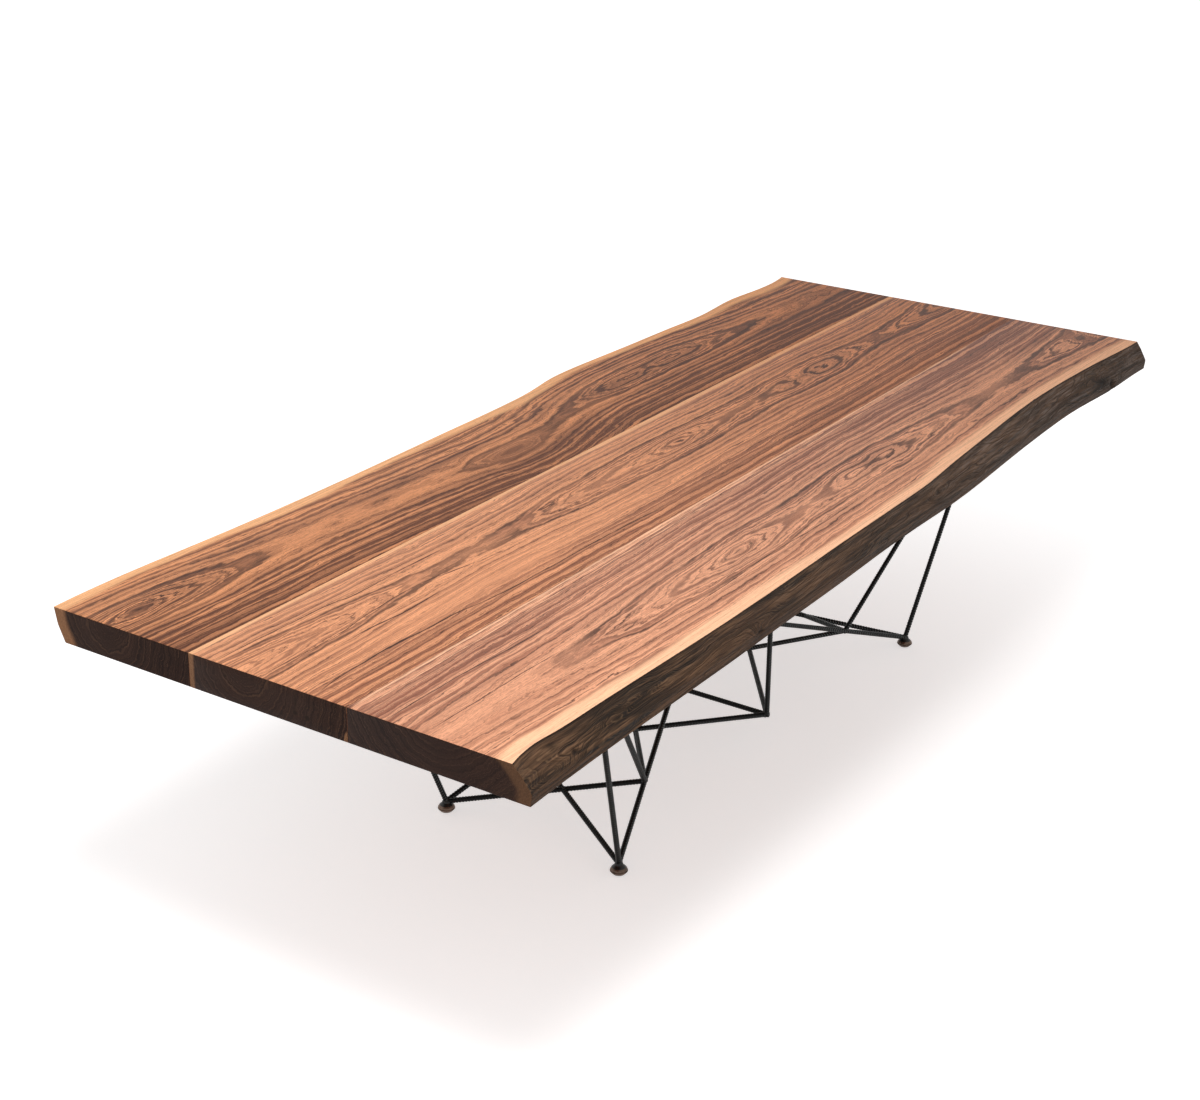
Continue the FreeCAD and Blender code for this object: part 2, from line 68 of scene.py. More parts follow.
right = Vector(studio["cameraRight"])
up = Vector(studio["cameraUp"])
turn = Matrix((right, up, right.cross(up))).transposed()
cameraData = bpy.data.cameras.new("camera")
cameraData.lens = studio["lens"]
cameraData.sensor_width = 36.0
cameraData.sensor_fit = "HORIZONTAL"
camera = bpy.data.objects.new("camera", cameraData)
camera.matrix_world = Matrix.Translation(studio["cameraPlace"]) @ turn.to_4x4()
scene.collection.objects.link(camera)
scene.camera = camera

lampData = bpy.data.lights.new("softbox", "AREA")
lampData.size = studio["lampSize"]
lampData.energy = studio["lampPower"]
lamp = bpy.data.objects.new("softbox", lampData)
lamp.location = studio["lampPlace"]
aim = Vector(studio["lampAim"]) - Vector(studio["lampPlace"])
lamp.rotation_euler = aim.to_track_quat("-Z", "Y").to_euler()
scene.collection.objects.link(lamp)


# shader helpers

def addNode(tree, kind, **settings):
    node = tree.nodes.new("ShaderNode" + kind)
    for name, value in settings.items():
        setattr(node, name, value)
    return node


# A socket takes another node's output or a plain value
def feed(tree, socket, value):
    if isinstance(value, bpy.types.NodeSocket):
        tree.links.new(value, socket)
    else:
        socket.default_value = (*value, 1.0) if socket.type == "RGBA" else value


def feedAll(tree, node, **values):
    for name, value in values.items():
        feed(tree, node.inputs[name], value)


def maths(tree, operation, *terms, clamp=False):
    node = addNode(tree, "Math", operation=operation, use_clamp=clamp)
    for socket, term in zip(node.inputs, terms):
        feed(tree, socket, term)
    return node.outputs[0]


def plus(tree, first, second):
    return maths(tree, "ADD", first, second)


def minus(tree, first, second):
    return maths(tree, "SUBTRACT", first, second)


def times(tree, first, second):
    return maths(tree, "MULTIPLY", first, second)


def timesPlus(tree, first, second, third, clamp=False):
    return maths(tree, "MULTIPLY_ADD", first, second, third, clamp=clamp)


def larger(tree, first, second):
    return maths(tree, "MAXIMUM", first, second)


def vectorMaths(tree, operation, *terms):
    node = addNode(tree, "VectorMath", operation=operation)
    for socket, term in zip(node.inputs, terms):
        feed(tree, socket, term)
    return node.outputs["Vector"]


def ramp(tree, value, low, high, outLow=0.0, outHigh=1.0, smooth=True):
    node = addNode(tree, "MapRange",
                   interpolation_type="SMOOTHSTEP" if smooth else "LINEAR")
    feedAll(tree, node, **{"Value": value, "From Min": low, "From Max": high, "To Min": outLow,
                           "To Max": outHigh})
    return node.outputs[0]


def mixColours(tree, share, first, second, blend="MIX"):
    node = addNode(tree, "Mix", data_type="RGBA", blend_type=blend)
    for name, term in (("Factor_Float", share), ("A_Color", first), ("B_Color", second)):
        feed(tree, next(s for s in node.inputs if s.identifier == name), term)
    return next(s for s in node.outputs if s.identifier == "Result_Color")


def axesOf(tree, place):
    node = addNode(tree, "SeparateXYZ")
    feed(tree, node.inputs[0], place)
    return node.outputs


def placeFrom(tree, x, y):
    node = addNode(tree, "CombineXYZ")
    feedAll(tree, node, X=x, Y=y)
    return node.outputs[0]


def scaled(tree, colour, factor):
    node = addNode(tree, "VectorMath", operation="SCALE")
    feed(tree, node.inputs[0], colour)
    feed(tree, node.inputs["Scale"], factor)
    return node.outputs["Vector"]


# Noise over a place that is first stretched, such as along the grain
def softNoise(tree, place, stretch, detail=2.0, rough=0.5, offset=0.0):
    node = addNode(tree, "TexNoise", noise_dimensions="3D")
    moved = vectorMaths(tree, "MULTIPLY_ADD", place, stretch, (offset, offset * 0.7, -offset))
    feedAll(tree, node, Vector=moved, Scale=1.0, Detail=detail, Roughness=rough)
    return node.outputs["Fac"]


def lineNoise(tree, value, scale, detail=1.0, offset=0.0):
    node = addNode(tree, "TexNoise", noise_dimensions="1D")
    feed(tree, node.inputs["W"], plus(tree, value, offset))
    feedAll(tree, node, Scale=scale, Detail=detail)
    return node.outputs["Fac"]


# Kinds of the sockets that aren't plain values
socketKinds = {"Place": "Vector", **dict.fromkeys(("Light", "Dark", "Late", "Sap", "Colour"), "Color")}


# A node group with its own named inputs and outputs. It also gives what comes in
# and the node that takes what goes out.
def startGroup(name, inputs, outputs):
    tree = bpy.data.node_groups.new(name, "ShaderNodeTree")
    for way, labels in (("INPUT", inputs), ("OUTPUT", outputs)):
        for label in labels.split():
            kind = "NodeSocket" + socketKinds.get(label, "Float")
            tree.interface.new_socket(label, in_out=way, socket_type=kind)
    return tree, tree.nodes.new("NodeGroupInput").outputs, tree.nodes.new("NodeGroupOutput")


def useGroup(tree, group, **terms):
    node = addNode(tree, "Group", node_tree=group)
    feedAll(tree, node, **terms)
    return node.outputs


def startMaterial(name):
    material = bpy.data.materials.new(name)
    material.use_nodes = True
    tree = material.node_tree
    place = addNode(tree, "TexCoord").outputs["Object"]
    return material, tree, tree.nodes["Principled BSDF"], place


def attributeOf(tree, name):
    return addNode(tree, "Attribute", attribute_name=name).outputs["Fac"]


def dressShader(tree, shader, colour, rough, height, strength, distance):
    feed(tree, shader.inputs["Base Color"], colour)
    feed(tree, shader.inputs["Roughness"], rough)
    bump = addNode(tree, "Bump")
    feedAll(tree, bump, Strength=strength, Distance=distance, Height=height)
    tree.links.new(bump.outputs["Normal"], shader.inputs["Normal"])


# world and floor: both show white to the camera, and the floor keeps the shadow

def seenDirectly(tree):
    rays = addNode(tree, "LightPath").outputs
    return larger(tree, rays["Is Camera Ray"],
                  larger(tree, rays["Is Glossy Ray"], rays["Is Transmission Ray"]))


world = bpy.data.worlds.new("studio")
scene.world = world
world.use_nodes = True
tree = world.node_tree
sky = tree.nodes["Background"]
sky.inputs["Color"].default_value = (1.0, 1.0, 1.0, 1.0)
feed(tree, sky.inputs["Strength"],
     ramp(tree, seenDirectly(tree), 0.0, 1.0, studio["worldLight"], 1.0, smooth=False))

floorMaterial, tree, shader, place = startMaterial("paperFloor")
cloud = softNoise(tree, place, (0.6, 0.6, 0.6), detail=3.0)
shade = studio["floorShade"]
tree.links.new(mixColours(tree, cloud, (shade, shade * 0.985, shade * 0.985), (shade * 1.03,) * 3),
               shader.inputs["Base Color"])
shader.inputs["Roughness"].default_value = 0.85
shader.inputs["Specular IOR Level"].default_value = 0.1
shader.inputs["Emission Color"].default_value = (1.0, 0.985, 0.985, 1.0)
# The floor's emission is weakest near the table's middle and rises to full white further out: painted
# shade round the table, added to its cast shadow.
away = addNode(tree, "VectorMath", operation="LENGTH")
tree.links.new(place, away.inputs[0])
shadedGlow = ramp(tree, away.outputs["Value"], *studio["paintedShadeReach"], *studio["floorGlow"])
feed(tree, shader.inputs["Emission Strength"], times(tree, seenDirectly(tree), shadedGlow))

bm = bmesh.new()
bmesh.ops.create_grid(bm, x_segments=8, y_segments=8, size=studio["floorSize"] / 2)
floorMesh = bpy.data.meshes.new("floor")
bm.to_mesh(floorMesh)
bm.free()
floorMesh.materials.append(floorMaterial)
floor = bpy.data.objects.new("floor", floorMesh)
scene.collection.objects.link(floor)
print("studio set")


# mesh helpers

# Turns a bmesh into a piece of the table that rides on a body
def finishPiece(bm, name, materials, body, stoodFor=(), smoothAngle=35.0):
    bmesh.ops.remove_doubles(bm, verts=bm.verts, dist=1e-6)
    bmesh.ops.recalc_face_normals(bm, faces=bm.faces)
    sharp = math.radians(smoothAngle)
    for face in bm.faces:
        face.smooth = True
    for edge in bm.edges:
        edge.smooth = edge.is_manifold and edge.calc_face_angle(0.0) < sharp
    mesh = bpy.data.meshes.new(name)
    bm.to_mesh(mesh)
    bm.free()
    for material in materials:
        mesh.materials.append(material)
    piece = bpy.data.objects.new(name, mesh)
    scene.collection.objects.link(piece)
    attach(piece, body)
    if stoodFor:
        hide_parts(*stoodFor)


def cutAt(bm, point, normal, **settings):
    bmesh.ops.bisect_plane(bm, geom=bm.verts[:] + bm.edges[:] + bm.faces[:], dist=1e-7,
                           plane_co=point, plane_no=normal, **settings)


# Spins a row of (radius, height) points round an upright axis
def turnedSection(bm, points, centre, steps):
    corners = [bm.verts.new(Vector(centre) + Vector((radius, 0.0, height)))
               for radius, height in points]
    edges = [bm.edges.new(pair) for pair in zip(corners, corners[1:])]
    bmesh.ops.spin(bm, geom=corners + edges, cent=centre, axis=(0.0, 0.0, 1.0),
                   angle=math.tau, steps=steps, use_merge=True)


# walnut

# A hill of a given height that falls off smoothly along and across
softHill, given, result = startGroup(
    "softHill", "Place Along Across ReachAlong ReachAcross Height", "Value")
tree = softHill
axes = axesOf(tree, given["Place"])
offsets = []
for axis, middle, reach in (("X", "Along", "ReachAlong"), ("Y", "Across", "ReachAcross")):
    offset = maths(tree, "DIVIDE", minus(tree, axes[axis], given[middle]), given[reach])
    offsets.append(times(tree, offset, offset))
fall = maths(tree, "EXPONENT", times(tree, plus(tree, *offsets), -1.0))
feedAll(tree, result, Value=times(tree, fall, given["Height"]))

# Lines of dark latewood where the growth rings meet the surface
ringLines, given, result = startGroup(
    "ringLines", "Rings Place Wide Steep Strong", "Line Band Fine")
tree = ringLines
rings = given["Rings"]


# Shades slowly through each ring, then a thin dark line, then light again
def tooth(tree, rings, start, crest, thin, shadeShare, keen=1.0):
    part = maths(tree, "FRACT", rings)
    shade = ramp(tree, part, start, crest)
    shade = times(tree, times(tree, shade, shade), shadeShare)
    line = ramp(tree, part, minus(tree, crest, times(tree, keen, thin)), crest,
                0.0, minus(tree, 1.0, shadeShare))
    end = timesPlus(tree, keen, 1.0 - crest, crest)
    return times(tree, plus(tree, shade, line), ramp(tree, part, crest, end, 1.0, 0.0))


wide = given["Wide"]
strong = given["Strong"]
keen = timesPlus(tree, given["Steep"], 0.6, 0.4)
keen = timesPlus(tree, strong, 0.5, keen, clamp=True)
flat = timesPlus(tree, given["Steep"], -0.8, 1.0)
smoky = timesPlus(tree, times(tree, larger(tree, wide, strong), flat), 0.3, 0.22)
uneven = timesPlus(tree, lineNoise(tree, rings, 0.31, 1.0, 15.0), 2.4, rings)
picked = ramp(tree, lineNoise(tree, rings, 0.9, 1.0), 0.36, 0.62, 0.14, 0.9)
picked = times(tree, timesPlus(tree, strong, 0.5, picked, clamp=True),
               timesPlus(tree, strong, -0.75, 1.0))
single = times(tree, tooth(tree, uneven, 0.3, 0.86, 0.34, smoky, keen), picked)
bolder = plus(tree, times(tree, rings, 0.34), times(tree, lineNoise(tree, rings, 0.33, 1.0, 9.0), 1.6))
thin = timesPlus(tree, strong, 0.22, timesPlus(tree, wide, 0.2, 0.14))
chosen = ramp(tree, lineNoise(tree, rings, 0.3, 1.0, 21.0), 0.38, 0.6, 0.2, 0.92)
chosen = timesPlus(tree, strong, 0.7, timesPlus(tree, wide, 0.15, chosen), clamp=True)
bold = times(tree, tooth(tree, bolder, 0.5, 0.92, thin, smoky, keen), chosen)
patch = ramp(tree, softNoise(tree, given["Place"], (4.0, 26.0, 26.0), 4.0, 0.6),
             0.3, 0.58, 0.4, 1.0)
patch = larger(tree, patch, strong)
feedAll(tree, result, Line=times(tree, larger(tree, single, bold), patch),
        Band=ramp(tree, lineNoise(tree, rings, 0.42, 6.0, 40.0), 0.36, 0.64),
        Fine=tooth(tree, times(tree, uneven, 2.7), 0.2, 0.85, 0.3, 0.5))

# Fibres and pores that run along the board
woodFibre, given, result = startGroup("woodFibre", "Place", "Streak Pore Cloud")
tree = woodFibre
place = given["Place"]
pores = softNoise(tree, place, (60.0, 1500.0, 1500.0), 1.0, 0.5, 7.0)
feedAll(tree, result, Streak=softNoise(tree, place, (3.2, 300.0, 300.0), 3.0, 0.6),
        Pore=ramp(tree, pores, 0.6, 0.74),
        Cloud=softNoise(tree, place, (1.6, 14.0, 14.0), 5.0, 0.62, 3.0))

# Pale sapwood within a distance of an edge, with an uneven inner border
paleRim, given, result = startGroup("paleRim", "Place Distance Width", "Mask")
tree = paleRim
place = given["Place"]
wander = ramp(tree, softNoise(tree, place, (1.8, 3.0, 3.0), 3.0, 0.55, 11.0), 0.3, 0.7,
              -0.35, 0.35, smooth=False)
border = times(tree, given["Width"], plus(tree, wander, 1.0))
frayed = timesPlus(tree, softNoise(tree, place, (6.0, 150.0, 150.0), 2.0), 0.004, -0.002)
reach = maths(tree, "DIVIDE", plus(tree, given["Distance"], frayed), border)
feedAll(tree, result, Mask=ramp(tree, reach, 0.62, 1.12, 1.0, 0.0))

# A thin line along the board about a middle, which thins where its noise is low
thinLine, given, result = startGroup(
    "thinLine", "Place Start End Middle Width Least", "Mask")
tree = thinLine
place = given["Place"]
axes = axesOf(tree, place)
wander = timesPlus(tree, softNoise(tree, place, (13.0, 0.0, 0.0), 3.0, 0.5), 0.006, -0.003)
away = maths(tree, "ABSOLUTE", plus(tree, wander, minus(tree, axes["Y"], given["Middle"])))
thick = times(tree, given["Width"],
              ramp(tree, softNoise(tree, place, (8.0, 0.0, 0.0), 3.0, 0.6, 5.0),
                   0.36, 0.66, given["Least"], 1.3))
line = ramp(tree, maths(tree, "DIVIDE", away, thick), 0.35, 1.1, 1.0, 0.0)
inside = times(tree, ramp(tree, minus(tree, axes["X"], given["Start"]), 0.0, 0.06),
               ramp(tree, minus(tree, given["End"], axes["X"]), 0.0, 0.06))
feedAll(tree, result, Mask=times(tree, line, inside))

# Colour, gloss and relief of sawn walnut
walnutTone, given, result = startGroup(
    "walnutTone", "Light Dark Late Sap Line Band Fine Streak Pore Cloud Depth Drift Rim Knot Age",
    "Colour Rough Relief")
tree = walnutTone
drift = plus(tree, timesPlus(tree, given["Band"], 0.95, -0.46),
             timesPlus(tree, given["Cloud"], 1.2, -0.6))
drift = times(tree, drift, times(tree, given["Drift"], timesPlus(tree, given["Age"], 0.55, 1.0)))
body = maths(tree, "ADD", given["Depth"], drift, clamp=True)
heart = mixColours(tree, body, given["Light"], given["Dark"])
# Towards the far end the heartwood is multiplied darker and warmer: painted shade for the light's
# falloff along the table.
heart = mixColours(tree, given["Age"], heart, (0.89, 0.77, 0.65), "MULTIPLY")
heart = mixColours(tree, times(tree, given["Fine"], 0.26), heart, given["Late"])
widened = maths(tree, "POWER", given["Line"], timesPlus(tree, given["Age"], -0.3, 0.84))
heart = mixColours(tree, times(tree, widened, 0.95), heart, given["Late"])
heart = mixColours(tree, given["Knot"], heart, given["Late"])
pale = mixColours(tree, times(tree, given["Line"], 0.3), given["Sap"], given["Dark"])
# The sapwood gets the same painted shade towards the far end.
pale = mixColours(tree, given["Age"], pale, (1.0, 0.88, 0.76), "MULTIPLY")
wood = mixColours(tree, given["Rim"], heart, pale)
wood = scaled(tree, wood, ramp(tree, given["Streak"], 0.3, 0.7, 0.76, 1.2, smooth=False))
wood = mixColours(tree, times(tree, given["Pore"], 0.45), wood, given["Late"])
rough = plus(tree, timesPlus(tree, given["Streak"], 0.12, 0.42), times(tree, given["Pore"], 0.2))
relief = minus(tree, times(tree, given["Streak"], 0.5),
               plus(tree, given["Pore"], times(tree, given["Line"], 0.5)))
feedAll(tree, result, Colour=wood, Rough=rough, Relief=relief)


# The three boards. A board's heart line says where the middle of its trunk ran:
# (along, across, height over the upper face). Its depths are (across, how dark).
# Knots are (along, across, reach along, reach across, how far they push the
# rings, how dark their core is). Strong loops, calm places and darker smokes are
# (along, across, reaches, share), and dark and pale lines are (width, least
# share of it, points along and across).

boards = {
    "left": {
        "live": 1,
        "light": (0.84, 0.35, 0.158), "dark": (0.15, 0.054, 0.028),
        "late": (0.046, 0.015, 0.008), "sap": (0.98, 0.505, 0.24),
        "pitch": 0.0052, "rimWidth": 0.037, "seed": 0.0, "endSap": (0.42, 0.205, 0.105),
        "endPale": [], "endDark": [(0.45, 0.69, 0.014, 0.02, 0.35)],
        "heart": [(-1.5, 0.436, 0.004), (-1.37, 0.434, 0.01), (-1.25, 0.43, 0.032),
                  (-1.1, 0.424, 0.056), (-0.95, 0.42, 0.066), (-0.7, 0.405, 0.064),
                  (-0.45, 0.385, 0.064), (-0.22, 0.366, 0.044), (-0.05, 0.385, 0.058),
                  (0.15, 0.425, 0.05), (0.5, 0.436, 0.01), (0.8, 0.425, 0.04),
                  (1.05, 0.412, 0.064), (1.5, 0.4, 0.08)],
        "depths": [(0.21, 0.86), (0.27, 0.85), (0.33, 0.6), (0.39, 0.4), (0.47, 0.37),
                   (0.54, 0.33), (0.58, 0.14), (0.61, 0.05)],
        "knots": [(-1.415, 0.442, 0.06, 0.026, -0.034, 0.95), (-0.84, 0.408, 0.03, 0.013, 0.012, 0.6),
                  (-0.41, 0.412, 0.036, 0.012, 0.012, 0.5), (-0.22, 0.362, 0.11, 0.016, -0.016, 0.0),
                  (0.5, 0.43, 0.05, 0.02, 0.024, 0.8), (-0.32, 0.47, 0.026, 0.008, 0.01, 0.5)],
        "strong": [(-1.34, 0.442, 0.16, 0.036, 1.0), (-0.84, 0.41, 0.1, 0.02, 0.6),
                   (0.5, 0.432, 0.2, 0.046, 0.7), (0.95, 0.414, 0.2, 0.03, 0.3)],
        "calm": [(-0.22, 0.364, 0.15, 0.04, 0.75)], "farDarkeningPace": 0.9, "farDarkeningDepth": 0.08,
        "smokes": [(-1.4, 0.444, 0.055, 0.022, 0.35), (-0.62, 0.44, 0.16, 0.018, 0.4),
                   (-0.36, 0.45, 0.12, 0.016, 0.35), (-0.24, 0.366, 0.13, 0.02, 0.35),
                   (0.3, 0.43, 0.2, 0.03, 0.3), (0.55, 0.33, 0.4, 0.03, 0.2),
                   (1.2, 0.3, 0.3, 0.03, 0.1), (-0.95, 0.3, 0.3, 0.02, -0.2)],
        "darkLines": [],
        "paleLines": [],
    },
    "middle": {
        "live": 0,
        "light": (0.88, 0.385, 0.192), "dark": (0.34, 0.13, 0.068),
        "late": (0.05, 0.017, 0.009), "sap": (0.95, 0.49, 0.245),
        "pitch": 0.0054, "rimWidth": 0.014, "seed": 20.0, "endSap": (0.36, 0.175, 0.088),
        "endPale": [(-0.186, 0.67, 0.011, 0.03, 1.0)],
        "endDark": [(-0.088, 0.697, 0.008, 0.007, 1.0), (-0.058, 0.7, 0.01, 0.008, 0.8),
                    (-0.06, 0.725, 0.003, 0.022, 0.8)],
        "heart": [(-1.5, 0.07, 0.01), (-1.35, 0.069, 0.028), (-1.1, 0.067, 0.048),
                  (-0.85, 0.064, 0.062), (-0.65, 0.062, 0.058), (-0.4, 0.06, 0.038),
                  (-0.1, 0.06, 0.022), (0.05, 0.06, 0.008), (0.25, 0.059, 0.03),
                  (0.45, 0.057, 0.034), (0.67, 0.056, 0.007), (0.9, 0.056, 0.036),
                  (1.1, 0.052, 0.054), (1.28, 0.05, 0.044), (1.5, 0.058, 0.012)],
        "depths": [(-0.19, 0.66), (-0.15, 0.72), (-0.11, 0.58), (-0.06, 0.18), (-0.02, 0.22),
                   (0.05, 0.19), (0.12, 0.23), (0.17, 0.15), (0.22, 0.05)],
        "knots": [(-0.84, 0.182, 0.022, 0.009, 0.012, 0.9), (0.055, 0.06, 0.05, 0.02, -0.024, 0.5),
                  (0.67, 0.058, 0.075, 0.03, 0.036, 0.45), (-0.24, -0.07, 0.07, 0.013, -0.02, 0.2),
                  (-0.9, -0.055, 0.26, 0.034, 0.014, 0.0), (-0.29, 0.124, 0.022, 0.008, 0.01, 0.8)],
        "strong": [(-0.5, 0.062, 0.13, 0.034, 0.7), (0.055, 0.06, 0.13, 0.034, 1.0),
                   (0.7, 0.058, 0.3, 0.05, 1.0), (1.4, 0.058, 0.14, 0.03, 0.8)],
        "calm": [(-0.9, -0.058, 0.42, 0.04, 0.85), (-0.4, -0.05, 0.3, 0.03, 0.6),
                 (-0.74, 0.062, 0.1, 0.026, 0.6)],
        "farDarkeningPace": 1.0, "farDarkeningDepth": 0.32,
        "smokes": [(-0.6, 0.075, 0.16, 0.018, 0.3), (-0.3, 0.03, 0.2, 0.016, 0.25),
                   (0.72, 0.07, 0.13, 0.026, 0.25), (0.98, 0.0, 0.3, 0.016, 0.25),
                   (0.2, -0.01, 0.3, 0.012, 0.2), (1.25, -0.06, 0.22, 0.02, 0.25)],
        "darkLines": [
            (0.0024, 0.4, [(-1.5, -0.11), (-1.29, -0.092), (-1.17, -0.098), (-1.06, -0.101),
                            (-0.96, -0.116), (-0.77, -0.123), (-0.52, -0.126), (-0.33, -0.141)]),
            (0.005, 0.2, [(-1.36, -0.097), (-1.29, -0.091), (-1.16, -0.098)]),
            (0.0026, 0.5, [(-1.28, -0.001), (-1.17, -0.008), (-1.11, -0.012), (-1.01, -0.008),
                            (-0.97, 0.0)]),
            (0.0022, 0.25, [(-1.5, 0.145), (-1.33, 0.142), (-1.17, 0.135), (-1.1, 0.125),
                            (-0.93, 0.127), (-0.77, 0.122)]),
            (0.002, 0.15, [(-1.5, 0.032), (-1.3, 0.028), (-1.15, 0.043), (-1.02, 0.05),
                            (-0.9, 0.035), (-0.77, 0.013), (-0.66, 0.003)]),
            (0.0022, 0.15, [(0.35, -0.108), (0.6, -0.112), (0.8, -0.106), (1.15, -0.108)])],
        "paleLines": [],
    },
    "right": {
        "live": -1,
        "light": (0.86, 0.4, 0.23), "dark": (0.3, 0.106, 0.058),
        "late": (0.054, 0.02, 0.012), "sap": (1.0, 0.555, 0.33),
        "pitch": 0.0054, "rimWidth": 0.034, "seed": 50.0, "endSap": (0.17, 0.085, 0.045),
        "endPale": [], "endDark": [(-0.56, 0.69, 0.012, 0.016, 0.6)],
        "heart": [(-1.5, -0.402, 0.078), (-1.2, -0.406, 0.068), (-1.0, -0.41, 0.056),
                  (-0.8, -0.412, 0.04), (-0.6, -0.413, 0.022), (-0.45, -0.412, 0.008),
                  (-0.3, -0.41, 0.024), (-0.1, -0.406, 0.034), (0.05, -0.402, 0.02),
                  (0.19, -0.4, 0.004), (0.38, -0.401, 0.034), (0.6, -0.404, 0.052),
                  (0.9, -0.41, 0.064), (1.2, -0.416, 0.052), (1.5, -0.42, 0.01)],
        "depths": [(-0.61, 0.0), (-0.55, 0.06), (-0.47, 0.15), (-0.4, 0.12), (-0.34, 0.25),
                   (-0.27, 0.44), (-0.22, 0.47), (-0.185, 0.38)],
        "knots": [(-0.45, -0.412, 0.062, 0.02, -0.022, 0.6), (0.19, -0.4, 0.07, 0.04, 0.012, 0.25),
                  (1.46, -0.42, 0.075, 0.034, 0.04, 0.2), (0.6, -0.47, 0.026, 0.01, 0.01, 0.7)],
        "strong": [(-0.9, -0.412, 0.09, 0.034, 0.6), (-0.46, -0.412, 0.22, 0.036, 0.9),
                   (0.24, -0.402, 0.24, 0.056, 1.0), (1.38, -0.415, 0.2, 0.055, 0.9)],
        "calm": [(-1.42, -0.42, 0.22, 0.06, 0.6), (-1.1, -0.41, 0.1, 0.034, 0.6),
                 (0.86, -0.408, 0.16, 0.03, 0.5)], "farDarkeningPace": 0.5, "farDarkeningDepth": 0.65,
        "smokes": [(-1.3, -0.42, 0.45, 0.2, 0.16), (-0.95, -0.415, 0.12, 0.016, 0.25),
                   (-1.15, -0.34, 0.2, 0.02, 0.2),
                   (1.34, -0.33, 0.18, 0.024, 0.45), (1.02, -0.3, 0.3, 0.02, 0.25),
                   (0.95, -0.24, 0.4, 0.02, 0.35), (0.24, -0.395, 0.1, 0.03, 0.3),
                   (0.75, -0.35, 0.2, 0.018, 0.3)],
        "darkLines": [
            (0.0022, 0.2, [(-1.5, -0.278), (-1.3, -0.278), (-1.12, -0.288), (-0.95, -0.292)]),
            (0.0018, 0.15, [(-1.5, -0.369), (-1.25, -0.37), (-1.08, -0.374)]),
            (0.002, 0.2, [(-0.9, -0.466), (-0.65, -0.477), (-0.46, -0.472), (-0.2, -0.481),
                            (-0.02, -0.48)])],
        "paleLines": [
            (0.0036, 0.8, [(-1.5, -0.193), (-1.0, -0.192), (-0.4, -0.19), (0.4, -0.19),
                            (1.2, -0.191)]),
            (0.002, 0.3, [(-1.1, -0.203), (-0.6, -0.202), (-0.1, -0.2), (0.3, -0.2)]),
            (0.0016, 0.2, [(-1.5, -0.214), (-0.9, -0.213), (-0.3, -0.212), (0.8, -0.211)])],
    },
}


# A value that follows given points, such as a heart line over the board's length
def drawnCurve(tree, value, points, low, high, start=-1.5, end=1.5):
    node = addNode(tree, "FloatCurve")
    curve = node.mapping.curves[0]
    places = [((x - start) / (end - start), (y - low) / (high - low)) for x, y in points]
    curve.points[0].location = places[0]
    curve.points[-1].location = places[-1]
    for spot in places[1:-1]:
        curve.points.new(*spot)
    node.mapping.update()
    feed(tree, node.inputs["Value"], ramp(tree, value, start, end, smooth=False))
    return timesPlus(tree, node.outputs[0], high - low, low)


def hillsOf(tree, moved, hills, start=0.0, joinedBy="ADD"):
    total = start
    for along, across, reachAlong, reachAcross, height in hills:
        hill = useGroup(tree, softHill, Place=moved, Along=along, Across=across,
                        ReachAlong=reachAlong, ReachAcross=reachAcross, Height=height)[0]
        total = maths(tree, joinedBy, total, hill)
    return total


